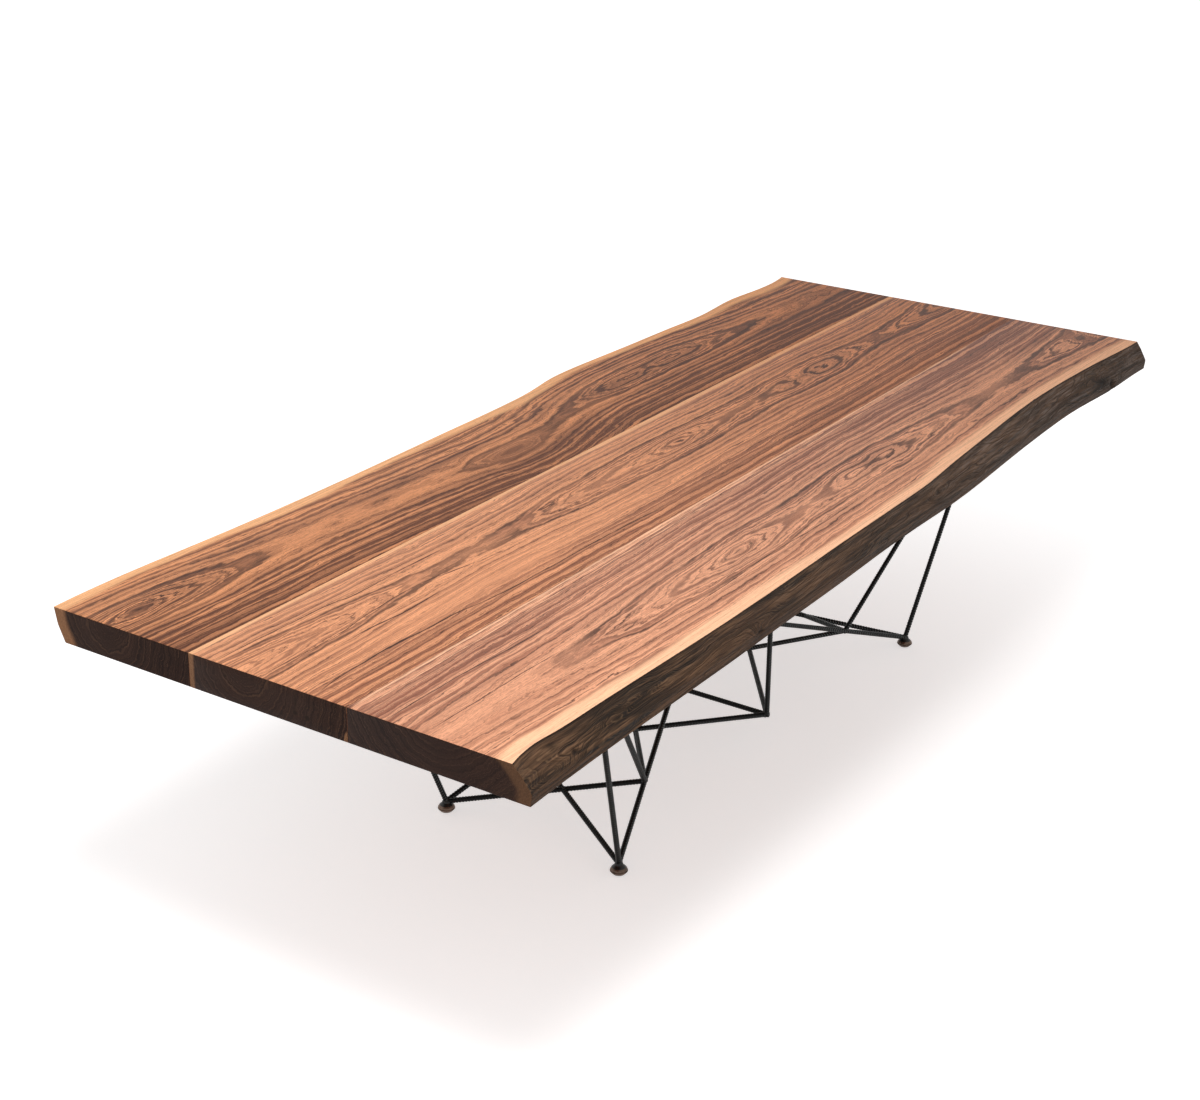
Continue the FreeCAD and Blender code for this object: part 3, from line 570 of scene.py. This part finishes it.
# A group that gives the growth rings of one board anywhere inside it
def boardFigure(name, board):
    group, given, result = startGroup(
        "figure_" + name, "Place", "Rings Knot Crack Pale Depth Clear Drift Steep Strong")
    tree = group
    seed = board["seed"]
    place = given["Place"]
    sway = timesPlus(tree, softNoise(tree, place, (1.5, 4.0, 4.0), 2.0, 0.5, seed), 0.026, -0.013)
    shake = softNoise(tree, place, (6.0, 30.0, 30.0), 3.0, 0.6, seed + 3.0)
    shake = timesPlus(tree, shake, 0.015, -0.0075)
    jag = timesPlus(tree, softNoise(tree, place, (4.5, 60.0, 60.0), 3.0, 0.65, seed + 6.0), 0.1, -0.05)
    moved = vectorMaths(tree, "ADD", place, placeFrom(tree, jag, plus(tree, sway, shake)))
    axes = axesOf(tree, moved)
    across = drawnCurve(tree, axes["X"], [(x, y) for x, y, z in board["heart"]], -0.6, 0.6)
    height = drawnCurve(tree, axes["X"], [(x, z) for x, y, z in board["heart"]], 0.0, 0.15)
    aside = minus(tree, axes["Y"], across)
    below = minus(tree, plus(tree, height, topHeight), axes["Z"])
    radius = maths(tree, "SQRT", plus(tree, times(tree, aside, aside), times(tree, below, below)))
    ripple = softNoise(tree, place, (9.0, 42.0, 42.0), 4.0, 0.62, seed + 9.0)
    radius = plus(tree, radius, timesPlus(tree, ripple, 0.022, -0.011))
    radius = hillsOf(tree, moved, [knot[:5] for knot in board["knots"]], radius)
    cores = [(along, side, reachAlong * 0.24, reachAcross * 0.26, dark)
             for along, side, reachAlong, reachAcross, push, dark in board["knots"] if dark]
    clear = minus(tree, 1.0, hillsOf(tree, moved, board["calm"], 0.0, "MAXIMUM"))
    steep = maths(tree, "DIVIDE", maths(tree, "ABSOLUTE", aside), plus(tree, radius, 0.002))
    depths = board["depths"]
    depth = drawnCurve(tree, axes["Y"], depths, 0.0, 1.0, depths[0][0], depths[-1][0])
    feedAll(tree, result, Rings=maths(tree, "DIVIDE", radius, board["pitch"]), Clear=clear,
            Steep=steep, Drift=times(tree, clear, timesPlus(tree, steep, 0.4, 0.6)),
            Knot=hillsOf(tree, moved, cores, 0.0, "MAXIMUM"),
            Strong=hillsOf(tree, moved, board["strong"], 0.0, "MAXIMUM"),
            Depth=hillsOf(tree, moved, board["smokes"], depth))
    plain = axesOf(tree, place)
    for lines, output in (("darkLines", "Crack"), ("paleLines", "Pale")):
        mark = 0.0
        for width, least, points in board[lines]:
            low, high = min(y for x, y in points) - 0.01, max(y for x, y in points) + 0.01
            start, end = points[0][0], points[-1][0]
            middle = drawnCurve(tree, plain["X"], points, low, high, start, end)
            mask = useGroup(tree, thinLine, Place=place, Start=start, End=end, Middle=middle,
                            Width=width, Least=least)[0]
            mark = larger(tree, mark, mask)
        feedAll(tree, result, **{output: mark})
    return group


# Oil darkens the sawn ends, and their rings show as thin paler lines
endShades = {"light": (0.046, 0.023, 0.017), "dark": (0.022, 0.011, 0.009),
             "late": (0.1, 0.052, 0.033)}


def walnutMaterial(name, board, figure, sawnEnd):
    material, tree, shader, place = startMaterial(name)
    axes = axesOf(tree, place)
    # Darker towards the far end: a larger share of dark heartwood and stronger figure, and painted
    # shade for the light's falloff.
    farDarkening = ramp(tree, axes["X"], -0.6, 1.5, 0.0, board["farDarkeningPace"])
    shape = useGroup(tree, figure, Place=place)
    wide, strong = (0.0, 0.0) if sawnEnd else (ramp(tree, axes["X"], -0.8, 1.5), shape["Strong"])
    marks = useGroup(tree, ringLines, Rings=shape["Rings"], Place=place, Wide=wide, Strong=strong,
                     Steep=shape["Steep"])
    fibre = useGroup(tree, woodFibre, Place=place)
    rim = useGroup(tree, paleRim, Place=place, Distance=attributeOf(tree, "rim"),
                   Width=board["rimWidth"])["Mask"]
    given = {**board, **endShades, "sap": board["endSap"]} if sawnEnd else board
    shades = {part.capitalize(): given[part] for part in ("light", "dark", "late", "sap")}
    if sawnEnd:
        facing = placeFrom(tree, axes["Y"], axes["Z"])
        marked = ramp(tree, hillsOf(tree, facing, board["endDark"], 0.0, "MAXIMUM"), 0.25, 0.75)
        pale = ramp(tree, hillsOf(tree, facing, board["endPale"], 0.0, "MAXIMUM"), 0.35, 0.55)
        rim = larger(tree, rim, pale)
    else:
        marked = larger(tree, shape["Knot"], shape["Crack"])
        rim = larger(tree, rim, times(tree, shape["Pale"], 0.9))
    depth = times(tree, shape["Depth"], timesPlus(tree, farDarkening, board["farDarkeningDepth"], 1.0))
    tone = useGroup(tree, walnutTone, Age=farDarkening, Line=times(tree, marks["Line"], shape["Clear"]),
                    Band=marks["Band"], Fine=0.0 if sawnEnd else marks["Fine"], Streak=fibre["Streak"],
                    Pore=fibre["Pore"], Cloud=fibre["Cloud"], Depth=depth,
                    Drift=shape["Drift"], Rim=rim, Knot=marked, **shades)
    colour = tone["Colour"]
    if sawnEnd:
        colour = mixColours(tree, times(tree, marked, 0.8), colour, (0.01, 0.006, 0.005))
    shader.inputs["Specular IOR Level"].default_value = 0.06 if sawnEnd else 0.13
    dressShader(tree, shader, colour, tone["Rough"], tone["Relief"], 0.35, 0.0004)
    return material


# The tree's own edge under a dark, weathered skin, brushed and oiled
def liveMaterial(name, seed):
    material, tree, shader, place = startMaterial(name)
    axes = axesOf(tree, place)
    upright = placeFrom(tree, axes["X"], axes["Z"])
    folds = softNoise(tree, place, (1.7, 3.0, 9.0), 4.0, 0.5, seed)
    folds = hillsOf(tree, upright, boardShape["swirls"], folds)
    layers = timesPlus(tree, axes["Z"], 150.0, times(tree, folds, 26.0))
    marks = useGroup(tree, ringLines, Rings=layers, Place=place, Steep=1.0)
    fibre = softNoise(tree, place, (9.0, 60.0, 230.0), 4.0, 0.65, seed + 2.0)
    strands = ramp(tree, softNoise(tree, place, (4.0, 20.0, 110.0), 4.0, 0.65, seed + 7.0), 0.42, 0.62)
    patch = ramp(tree, softNoise(tree, place, (2.2, 3.0, 22.0), 4.0, 0.6, seed + 5.0), 0.36, 0.62)
    grey = ramp(tree, axes["X"], -1.3, 1.3, 0.05, 0.75)
    skin = mixColours(tree, patch, (0.011, 0.007, 0.005), (0.08, 0.04, 0.022))
    skin = mixColours(tree, times(tree, strands, 0.75), skin, (0.17, 0.088, 0.046))
    skin = mixColours(tree, times(tree, grey, ramp(tree, fibre, 0.35, 0.65)), skin,
                      (0.145, 0.118, 0.104))
    streak = times(tree, marks["Line"], ramp(tree, fibre, 0.28, 0.55))
    skin = mixColours(tree, times(tree, streak, 0.85), skin, (0.01, 0.006, 0.004))
    skin = mixColours(tree, times(tree, marks["Fine"], 0.25), skin, (0.26, 0.15, 0.08))
    skin = scaled(tree, skin, ramp(tree, fibre, 0.34, 0.66, 0.42, 1.5, smooth=False))
    topLine = ramp(tree, axes["Z"], topHeight - 0.005, topHeight - 0.0015)
    skin = mixColours(tree, times(tree, topLine, 0.8), skin, (0.01, 0.006, 0.004))
    hollowShade = attributeOf(tree, "hollowShade")
    # The pits of the edge are darkened to near black: painted shade in the recesses.
    skin = mixColours(tree, hollowShade, skin, (0.006, 0.004, 0.003))
    rough = ramp(tree, fibre, 0.3, 0.7, 0.5, 0.78, smooth=False)
    relief = plus(tree, times(tree, fibre, 0.8), minus(tree, times(tree, strands, 0.6), marks["Line"]))
    shader.inputs["Specular IOR Level"].default_value = 0.12
    dressShader(tree, shader, skin, rough, relief, 0.9, 0.0022)
    return material


boardShape = {
    "arris": 0.0012,
    "cutsAlong": 420,
    "levels": 16,
    "relief": 0.0022,
    "rayStep": 0.0005,
    "edgeCuts": (0.003, 0.012, 0.04, 0.1),
    "middleCuts": (0.25, 0.5, 0.75),
    "shoulderStart": 0.75,
    "skinShare": 0.996,
    "fade": 0.006,
    "leastPit": math.exp(-9.0),
    # hollows of the -Y edge: along, height, reach along, reach up, depth
    "hollows": [(-1.344, 0.712, 0.01, 0.005, 0.006), (-0.684, 0.698, 0.011, 0.005, 0.006),
                (0.18, 0.721, 0.012, 0.005, 0.005), (1.27, 0.692, 0.013, 0.011, 0.009),
                (-1.385, 0.735, 0.016, 0.004, 0.004), (1.215, 0.708, 0.06, 0.012, 0.003)],
    # where the upper arris of the -Y edge draws in or stands out
    "shoulders": [(-1.42, 0.752, 0.055, 0.034, 0.0065), (-1.505, 0.752, 0.022, 0.045, -0.0045)],
    # where the layers of the edge close into ovals: along, height, reaches, layers
    "swirls": [(-1.43, 0.706, 0.06, 0.016, 0.18), (1.27, 0.692, 0.06, 0.024, 0.13),
               (-0.684, 0.698, 0.05, 0.014, 0.18), (0.18, 0.721, 0.045, 0.012, 0.16)],
}
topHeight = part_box("board_middle")[1].z


# Gives how far the board's own edge stands out at a place along it and a height
def edgeFinder(node, live):
    shape = bmesh.new()
    shape.from_mesh(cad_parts[node].data)
    surface = BVHTree.FromBMesh(shape)
    shape.free()
    low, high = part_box(node)
    step = boardShape["rayStep"]

    def edgeAt(along, height):
        along = min(max(along, low.x + step), high.x - step)
        height = min(max(height, low.z + step), high.z - step)
        hit = surface.ray_cast(Vector((along, live * 2.0, height)), Vector((0.0, -live, 0.0)))[0]
        return hit.y
    return edgeAt


def barkRelief(along, height, live):
    spot = Vector((along * 5.0, live * 3.0, height * 26.0))
    swell = noise.fractal(spot, 0.7, 2.0, 4)
    ridge = noise.fractal(Vector((along * 2.0, live * 7.0, height * 70.0)), 0.8, 2.0, 3)
    return boardShape["relief"] * (0.42 * swell + 0.34 * ridge - 0.45)


# How much a hollow or shoulder of the live edge counts at a spot
def hillAt(spot, along, height, reachAlong, reachUp):
    return math.exp(-((spot.x - along) / reachAlong) ** 2 - ((spot.z - height) / reachUp) ** 2)


def makeBoard(name, board):
    node = "board_" + name
    low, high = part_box(node)
    live = board["live"]
    bm = bmesh.new()
    bmesh.ops.create_cube(bm, size=1.0)
    bmesh.ops.scale(bm, vec=high - low, verts=bm.verts)
    bmesh.ops.translate(bm, vec=(low + high) / 2, verts=bm.verts)
    bmesh.ops.bevel(bm, geom=bm.edges[:], offset=boardShape["arris"], segments=2, profile=0.5,
                    affect="EDGES", material=-1)
    levels = boardShape["levels"] if live else 3
    cuts = [(2, low.z + (high.z - low.z) * (i + 1) / (levels + 1)) for i in range(levels)]
    if live:
        seam, outer = (low.y, high.y) if live > 0 else (high.y, low.y)
        cuts += [(1, outer - live * depth) for depth in boardShape["edgeCuts"]]
    else:
        seam, outer = low.y, high.y
        cuts += [(1, low.y + (high.y - low.y) * share) for share in boardShape["middleCuts"]]
    for axis, place in cuts:
        point, normal = Vector(), Vector()
        point[axis], normal[axis] = place, 1.0
        cutAt(bm, point, normal)
    longEdges = [edge for edge in bm.edges if edge.calc_length() > 1.0]
    bmesh.ops.subdivide_edges(bm, edges=longEdges, cuts=boardShape["cutsAlong"], use_grid_fill=True)
    rimLayer = bm.verts.layers.float.new("rim")
    hollowShadeLayer = bm.verts.layers.float.new("hollowShade")
    edgeAt = edgeFinder(node, live) if live else None
    start = boardShape["shoulderStart"]
    for vert in bm.verts:
        if not live:
            vert[rimLayer] = high.y - vert.co.y
            continue
        edge = edgeAt(vert.co.x, vert.co.z)
        share = (vert.co.y - seam) / (outer - seam)
        vert.co.y = seam + share * (edge - seam)
        vert[rimLayer] = abs(edge - vert.co.y)
        if live < 0 and share > start:
            for along, height, reachAlong, reachUp, depth in boardShape["shoulders"]:
                hill = hillAt(vert.co, along, height, reachAlong, reachUp)
                vert.co.y -= live * depth * hill * (share - start) / (1 - start)
        if share < boardShape["skinShare"]:
            continue
        inside = min(vert.co.x - low.x, high.x - vert.co.x, vert.co.z - low.z, high.z - vert.co.z)
        fade = min(1.0, inside / boardShape["fade"])
        vert.co.y += live * barkRelief(vert.co.x, vert.co.z, live) * fade
        if live < 0:
            for along, height, reachAlong, reachUp, depth in boardShape["hollows"]:
                pit = hillAt(vert.co, along, height, reachAlong, reachUp)
                if pit > boardShape["leastPit"]:
                    vert.co.y -= live * depth * pit
                    # The pit's share is kept for the painted shade in the pits.
                    vert[hollowShadeLayer] = max(vert[hollowShadeLayer], pit ** 1.5)
    bmesh.ops.recalc_face_normals(bm, faces=bm.faces)
    for face in bm.faces:
        middle = face.calc_center_median()
        if abs(face.normal.x) > 0.6:
            face.material_index = 1
        elif live and abs(face.normal.y) > 0.5 and abs(middle.y - seam) > 0.1:
            face.material_index = 2
    figure = boardFigure(name, board)
    materials = [walnutMaterial("walnut_" + name, board, figure, False),
                 walnutMaterial("walnutEnd_" + name, board, figure, True)]
    if live:
        materials.append(liveMaterial("liveEdge_" + name, board["seed"]))
    finishPiece(bm, "top_board_" + name, materials, "table", [node], 40.0)


for name, board in boards.items():
    makeBoard(name, board)
print("boards made")


# black steel

steelSkin, given, result = startGroup("steelSkin", "Place", "Tone Rough Relief")
tree = steelSkin
place = given["Place"]
wide = softNoise(tree, place, (14.0, 14.0, 14.0), 3.0, 0.6)
fine = softNoise(tree, place, (420.0, 420.0, 420.0), 2.0, 0.6)
feedAll(tree, result, Tone=ramp(tree, timesPlus(tree, fine, 0.4, wide), 0.45, 0.95),
        Rough=ramp(tree, wide, 0.3, 0.7, 0.28, 0.46), Relief=fine)


def steelMaterial(name, dark, light, metallic, roughShift=0.0, strength=0.25):
    material, tree, shader, place = startMaterial(name)
    skin = useGroup(tree, steelSkin, Place=place)
    shader.inputs["Metallic"].default_value = metallic
    dressShader(tree, shader, mixColours(tree, skin["Tone"], dark, light),
                plus(tree, skin["Rough"], roughShift), skin["Relief"], strength, 0.0002)
    return material


# The bars are near black between the ribs and lighter on their crests: painted shade in the grooves and
# a painted highlight on the crests
def ribbedSteel(name):
    material, tree, shader, place = startMaterial(name)
    skin = useGroup(tree, steelSkin, Place=place)
    crest = ramp(tree, attributeOf(tree, "crest"), 0.5, 0.95)
    grooveShade = mixColours(tree, skin["Tone"], (0.003, 0.003, 0.003), (0.008, 0.009, 0.009))
    crestHighlight = mixColours(tree, skin["Tone"], (0.08, 0.088, 0.088), (0.17, 0.182, 0.18))
    tree.links.new(times(tree, crest, 0.45), shader.inputs["Metallic"])
    shader.inputs["Specular IOR Level"].default_value = 0.12
    dressShader(tree, shader, mixColours(tree, crest, grooveShade, crestHighlight),
                timesPlus(tree, crest, -0.08, skin["Rough"]), skin["Relief"], 0.25, 0.0002)
    return material


barSteel = ribbedSteel("ribbedSteel")
blackSteel = steelMaterial("blackSteel", (0.006, 0.006, 0.006), (0.022, 0.024, 0.024), 0.35)
blackWeld = steelMaterial("blackWeld", (0.008, 0.008, 0.008), (0.028, 0.028, 0.027), 0.35, 0.1, 0.6)
blackPlate = steelMaterial("blackPlate", (0.011, 0.011, 0.012), (0.03, 0.031, 0.031), 0.3, 0.08)
bronzeGlide = steelMaterial("bronzeGlide", (0.07, 0.046, 0.034), (0.22, 0.15, 0.112), 0.75, -0.04)
zincSteel = steelMaterial("zincSteel", (0.2, 0.2, 0.19), (0.42, 0.42, 0.4), 1.0, 0.0)

frameShape = {
    "core": 0.006,
    "sides": 16,
    "ribPitch": 0.0075,
    "ribHeight": 0.001,
    "ribSlant": 0.0036,
    "ringsPerRib": 6,
    "longRib": 0.0004,
    "headDrop": 0.008,
    "footNode": 0.025,
    "waist": 0.084,
    "innerShare": 0.133,
    "crossOverhang": 0.006,
    "topReach": 0.024,
    "plateGap": 0.0003,
}
corners = ["near_left", "near_right", "far_right", "far_left"]
opposite = dict(zip(corners, corners[2:] + corners[:2]))
beside = dict(zip(corners, [corners[1], corners[0], corners[3], corners[2]]))
across = {corner: "right" if corner.endswith("left") else "left" for corner in corners}


def middleOf(node):
    low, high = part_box(node)
    return (low + high) / 2


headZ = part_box("board_middle")[0].z - frameShape["headDrop"]
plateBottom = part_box("head_plate_near_left")[0].z - frameShape["plateGap"]
heads, feet, inner, waists, postHeads = {}, {}, {}, {}, {}
for corner in corners:
    plate = middleOf("head_plate_" + corner)
    glide = middleOf("foot_glide_" + corner)
    heads[corner] = Vector((plate.x, plate.y, headZ))
    feet[corner] = Vector((glide.x, glide.y, frameShape["footNode"]))
for corner in corners:
    inner[corner] = feet[corner].lerp(heads[opposite[corner]], frameShape["innerShare"])
for side in ("left", "right"):
    post = middleOf("post_plate_" + side)
    waists[side] = Vector((post.x, post.y, frameShape["waist"]))
    postHeads[side] = Vector((post.x, post.y, headZ))


# Radius of the ribbed bar and how far its surface is a crest: slanted crescents
# on both flanks and two long ribs
def barSurface(angle, along, phase):
    flank = abs(math.sin(angle))
    lean = frameShape["ribSlant"] * math.cos(angle) * (1 if math.sin(angle) > 0 else -1)
    wave = math.cos(math.tau * (along + lean) / frameShape["ribPitch"] + phase)
    crescent = max(0.0, wave) ** 0.8 * min(1.0, flank * 1.5)
    spine = max(0.0, 1.0 - flank * 3.0)
    crest = crescent * (1 - spine)
    return (frameShape["core"] + frameShape["ribHeight"] * crest + frameShape["longRib"] * spine,
            max(crest, spine * 0.5))


def ribbedBar(name, start, end, before=0.0, after=0.0):
    direction = (end - start).normalized()
    start = start - direction * before
    length = (end - start).length + after
    steps = round(length / frameShape["ribPitch"] * frameShape["ringsPerRib"])
    bm = bmesh.new()
    bmesh.ops.create_grid(bm, x_segments=steps, y_segments=frameShape["sides"], size=0.5)
    lean = Vector((0, 0, 1)).rotation_difference(direction)
    toBar = Matrix.Translation(start) @ lean.to_matrix().to_4x4()
    phase = length * 7.0
    # The crest share is kept for the bar material, which paints a highlight on the crests and shade
    # between them.
    crestLayer = bm.verts.layers.float.new("crest")
    for vert in bm.verts:
        angle = (vert.co.y + 0.5) * math.tau
        along = (vert.co.x + 0.5) * length
        radius, vert[crestLayer] = barSurface(angle, along, phase)
        vert.co = toBar @ Vector((radius * math.cos(angle), radius * math.sin(angle), along))
    bmesh.ops.remove_doubles(bm, verts=bm.verts, dist=1e-6)
    cutAt(bm, (0, 0, plateBottom), (0, 0, 1), clear_outer=True)
    bmesh.ops.holes_fill(bm, edges=[edge for edge in bm.edges if edge.is_boundary])
    finishPiece(bm, "bar_" + name, [barSteel], "table", [name], 50.0)


topReach = frameShape["topReach"]
for corner in corners:
    ribbedBar("upright_" + corner, feet[corner], heads[corner], after=topReach)
    ribbedBar("diagonal_" + corner, feet[corner], heads[opposite[corner]])
    ribbedBar("strut_" + corner, inner[corner], heads[corner])
    ribbedBar("brace_" + corner, feet[corner], inner[beside[corner]])
    ribbedBar("tie_" + corner, inner[corner], waists[across[corner]])
for side in ("left", "right"):
    ribbedBar("post_" + side, waists[side], postHeads[side], after=topReach)
overhang = frameShape["crossOverhang"]
ribbedBar("cross_tie", waists["left"], waists["right"], before=overhang, after=overhang)
print("bars made")


# weld beads, along the line where a bar meets its neighbour or a plate

beadShape = {"radius": 0.0017, "sides": 8, "steps": 28, "ripples": 11, "ripple": 0.16,
             "sag": 0.15}


def weldBead(bm, node, direction, neighbour=None):
    direction = direction.normalized()
    side = direction.orthogonal().normalized()
    other = direction.cross(side)
    core = frameShape["core"]
    ring = bmesh.ops.create_circle(
        bm, segments=beadShape["sides"], radius=0.3,
        matrix=Matrix.Translation((1, 0, 0)) @ Matrix.Rotation(math.pi / 2, 4, "X"))["verts"]
    edges = list({edge for vert in ring for edge in vert.link_edges})
    known = set(bm.verts) - set(ring)
    bmesh.ops.spin(bm, geom=ring + edges, cent=(0, 0, 0), axis=(0, 0, 1), angle=math.tau,
                   steps=beadShape["steps"], use_merge=True)
    for vert in [v for v in bm.verts if v not in known]:
        angle = math.atan2(vert.co.y, vert.co.x)
        section = math.atan2(vert.co.z, math.hypot(vert.co.x, vert.co.y) - 1.0)
        outward = side * math.cos(angle) + other * math.sin(angle)
        rim = outward * core
        if neighbour is None:  # a flat plate above the node
            reach = (plateBottom - node.z - rim.z) / direction.z
        else:
            line = neighbour.normalized()
            flat = rim - line * rim.dot(line)
            lean = direction - line * direction.dot(line)
            square = lean.length_squared
            cross = lean.dot(flat)
            left = cross * cross - square * (flat.length_squared - core * core)
            reach = (math.sqrt(max(0.0, left)) - cross) / square
        radius = beadShape["radius"] * (1 + beadShape["ripple"] * math.sin(angle * beadShape["ripples"])
                                        + beadShape["sag"] * math.sin(angle * 3 + node.x * 40))
        vert.co = (node + rim + direction * reach
                   + (outward * math.cos(section) + direction * math.sin(section)) * radius)


bm = bmesh.new()
for corner in corners:
    foot, head = feet[corner], heads[corner]
    upright = head - foot
    far, near = heads[opposite[corner]], beside[corner]
    diagonal = far - foot
    weldBead(bm, head, upright)
    weldBead(bm, foot, diagonal, upright)
    weldBead(bm, far, -diagonal, far - feet[opposite[corner]])
    weldBead(bm, inner[corner], head - inner[corner], diagonal)
    weldBead(bm, head, inner[corner] - head, upright)
    weldBead(bm, foot, inner[near] - foot, upright)
    weldBead(bm, inner[near], foot - inner[near], heads[opposite[near]] - feet[near])
    waist = waists[across[corner]]
    weldBead(bm, inner[corner], waist - inner[corner], diagonal)
    weldBead(bm, waist, inner[corner] - waist, postHeads[across[corner]] - waist)
crossing = (feet["near_left"] + heads["far_right"]) / 2
first = heads["far_right"] - feet["near_left"]
for corner in corners[1:]:
    along = heads[opposite[corner]] - feet[corner]
    weldBead(bm, crossing, along, first)
    weldBead(bm, crossing, -along, first)
for side in ("left", "right"):
    upward = postHeads[side] - waists[side]
    weldBead(bm, waists[side], upward, waists["left"] - waists["right"])
    weldBead(bm, postHeads[side], upward)
finishPiece(bm, "weld_beads", [blackWeld], "table", smoothAngle=60.0)
print("welds made")


# feet

footShape = {
    "steps": 48,
    "moundSteps": 24,
    "studSteps": 32,
    "glide": [(0.0, 0.0), (0.0138, 0.0), (0.0148, 0.0004), (0.0158, 0.0014), (0.018, 0.004),
              (0.0199, 0.0062), (0.0208, 0.0074), (0.021, 0.0082), (0.0208, 0.009),
              (0.0202, 0.0095), (0.0, 0.0095)],
    "cup": [(0.0, 0.0098), (0.019, 0.0098), (0.0198, 0.0101), (0.02, 0.0108), (0.0199, 0.0118),
            (0.0193, 0.013), (0.018, 0.0148), (0.016, 0.017), (0.0136, 0.0192), (0.0112, 0.0212),
            (0.0092, 0.0226), (0.0072, 0.0235), (0.0045, 0.0238), (0.0, 0.0238)],
    "mound": [(0.0, 0.0205), (0.0096, 0.0212), (0.0104, 0.0228), (0.01, 0.0252), (0.0086, 0.0278),
              (0.0066, 0.03), (0.0038, 0.0312), (0.0, 0.0315)],
    "crown": 0.018,
    "threadPitch": 0.00125,
    "threadDepth": 0.0006,
    "lumps": (260.0, 0.001),
}
cups = bmesh.new()
mounds = bmesh.new()
for corner in corners:
    centre = Vector((feet[corner].x, feet[corner].y, 0.0))
    bm = bmesh.new()
    turnedSection(bm, footShape["glide"], centre, footShape["steps"])
    finishPiece(bm, "glide_" + corner, [bronzeGlide], "leveller_" + corner,
                ["foot_glide_" + corner], 40.0)
    turnedSection(cups, footShape["cup"], centre, footShape["steps"])
    turnedSection(mounds, footShape["mound"], centre, footShape["moundSteps"])
    low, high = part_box("foot_stud_" + corner)
    radius = (high.x - low.x) / 2
    crest = footShape["threadDepth"]
    pitch = footShape["threadPitch"]
    profile = [(0.0, low.z), (radius - crest, low.z)]
    for turnNumber in range(int((high.z - low.z - pitch) / pitch)):
        base = low.z + pitch * (turnNumber + 0.5)
        profile += [(radius - crest, base), (radius, base + pitch * 0.4), (radius, base + pitch * 0.6)]
    profile += [(radius - crest, high.z - pitch * 0.4), (radius - crest * 1.6, high.z), (0.0, high.z)]
    bm = bmesh.new()
    turnedSection(bm, profile, centre, footShape["studSteps"])
    finishPiece(bm, "stud_" + corner, [zincSteel], "leveller_" + corner,
                ["foot_stud_" + corner], 30.0)
lumpScale, lumpHeight = footShape["lumps"]
for vert in mounds.verts:
    vert.co.z += lumpHeight * noise.noise(vert.co * lumpScale)
finishPiece(mounds, "foot_welds", [blackWeld], "table", smoothAngle=60.0)
bmesh.ops.recalc_face_normals(cups, faces=cups.faces)
for face in cups.faces:
    if face.calc_center_median().z < footShape["crown"]:
        face.material_index = 1
finishPiece(cups, "foot_cup_set", [blackSteel, bronzeGlide], "table", ["foot_cups"],
            40.0)
print("feet made")


# plates, bolts and inserts keep their own shapes

kept = {"head_plate": blackPlate, "post_plate": blackPlate, "plate_bolts": zincSteel,
        "threaded_inserts": zincSteel}
for name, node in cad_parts.items():
    for start, material in kept.items():
        if name.startswith(start):
            node.material_slots[0].material = material

print("table dressed")
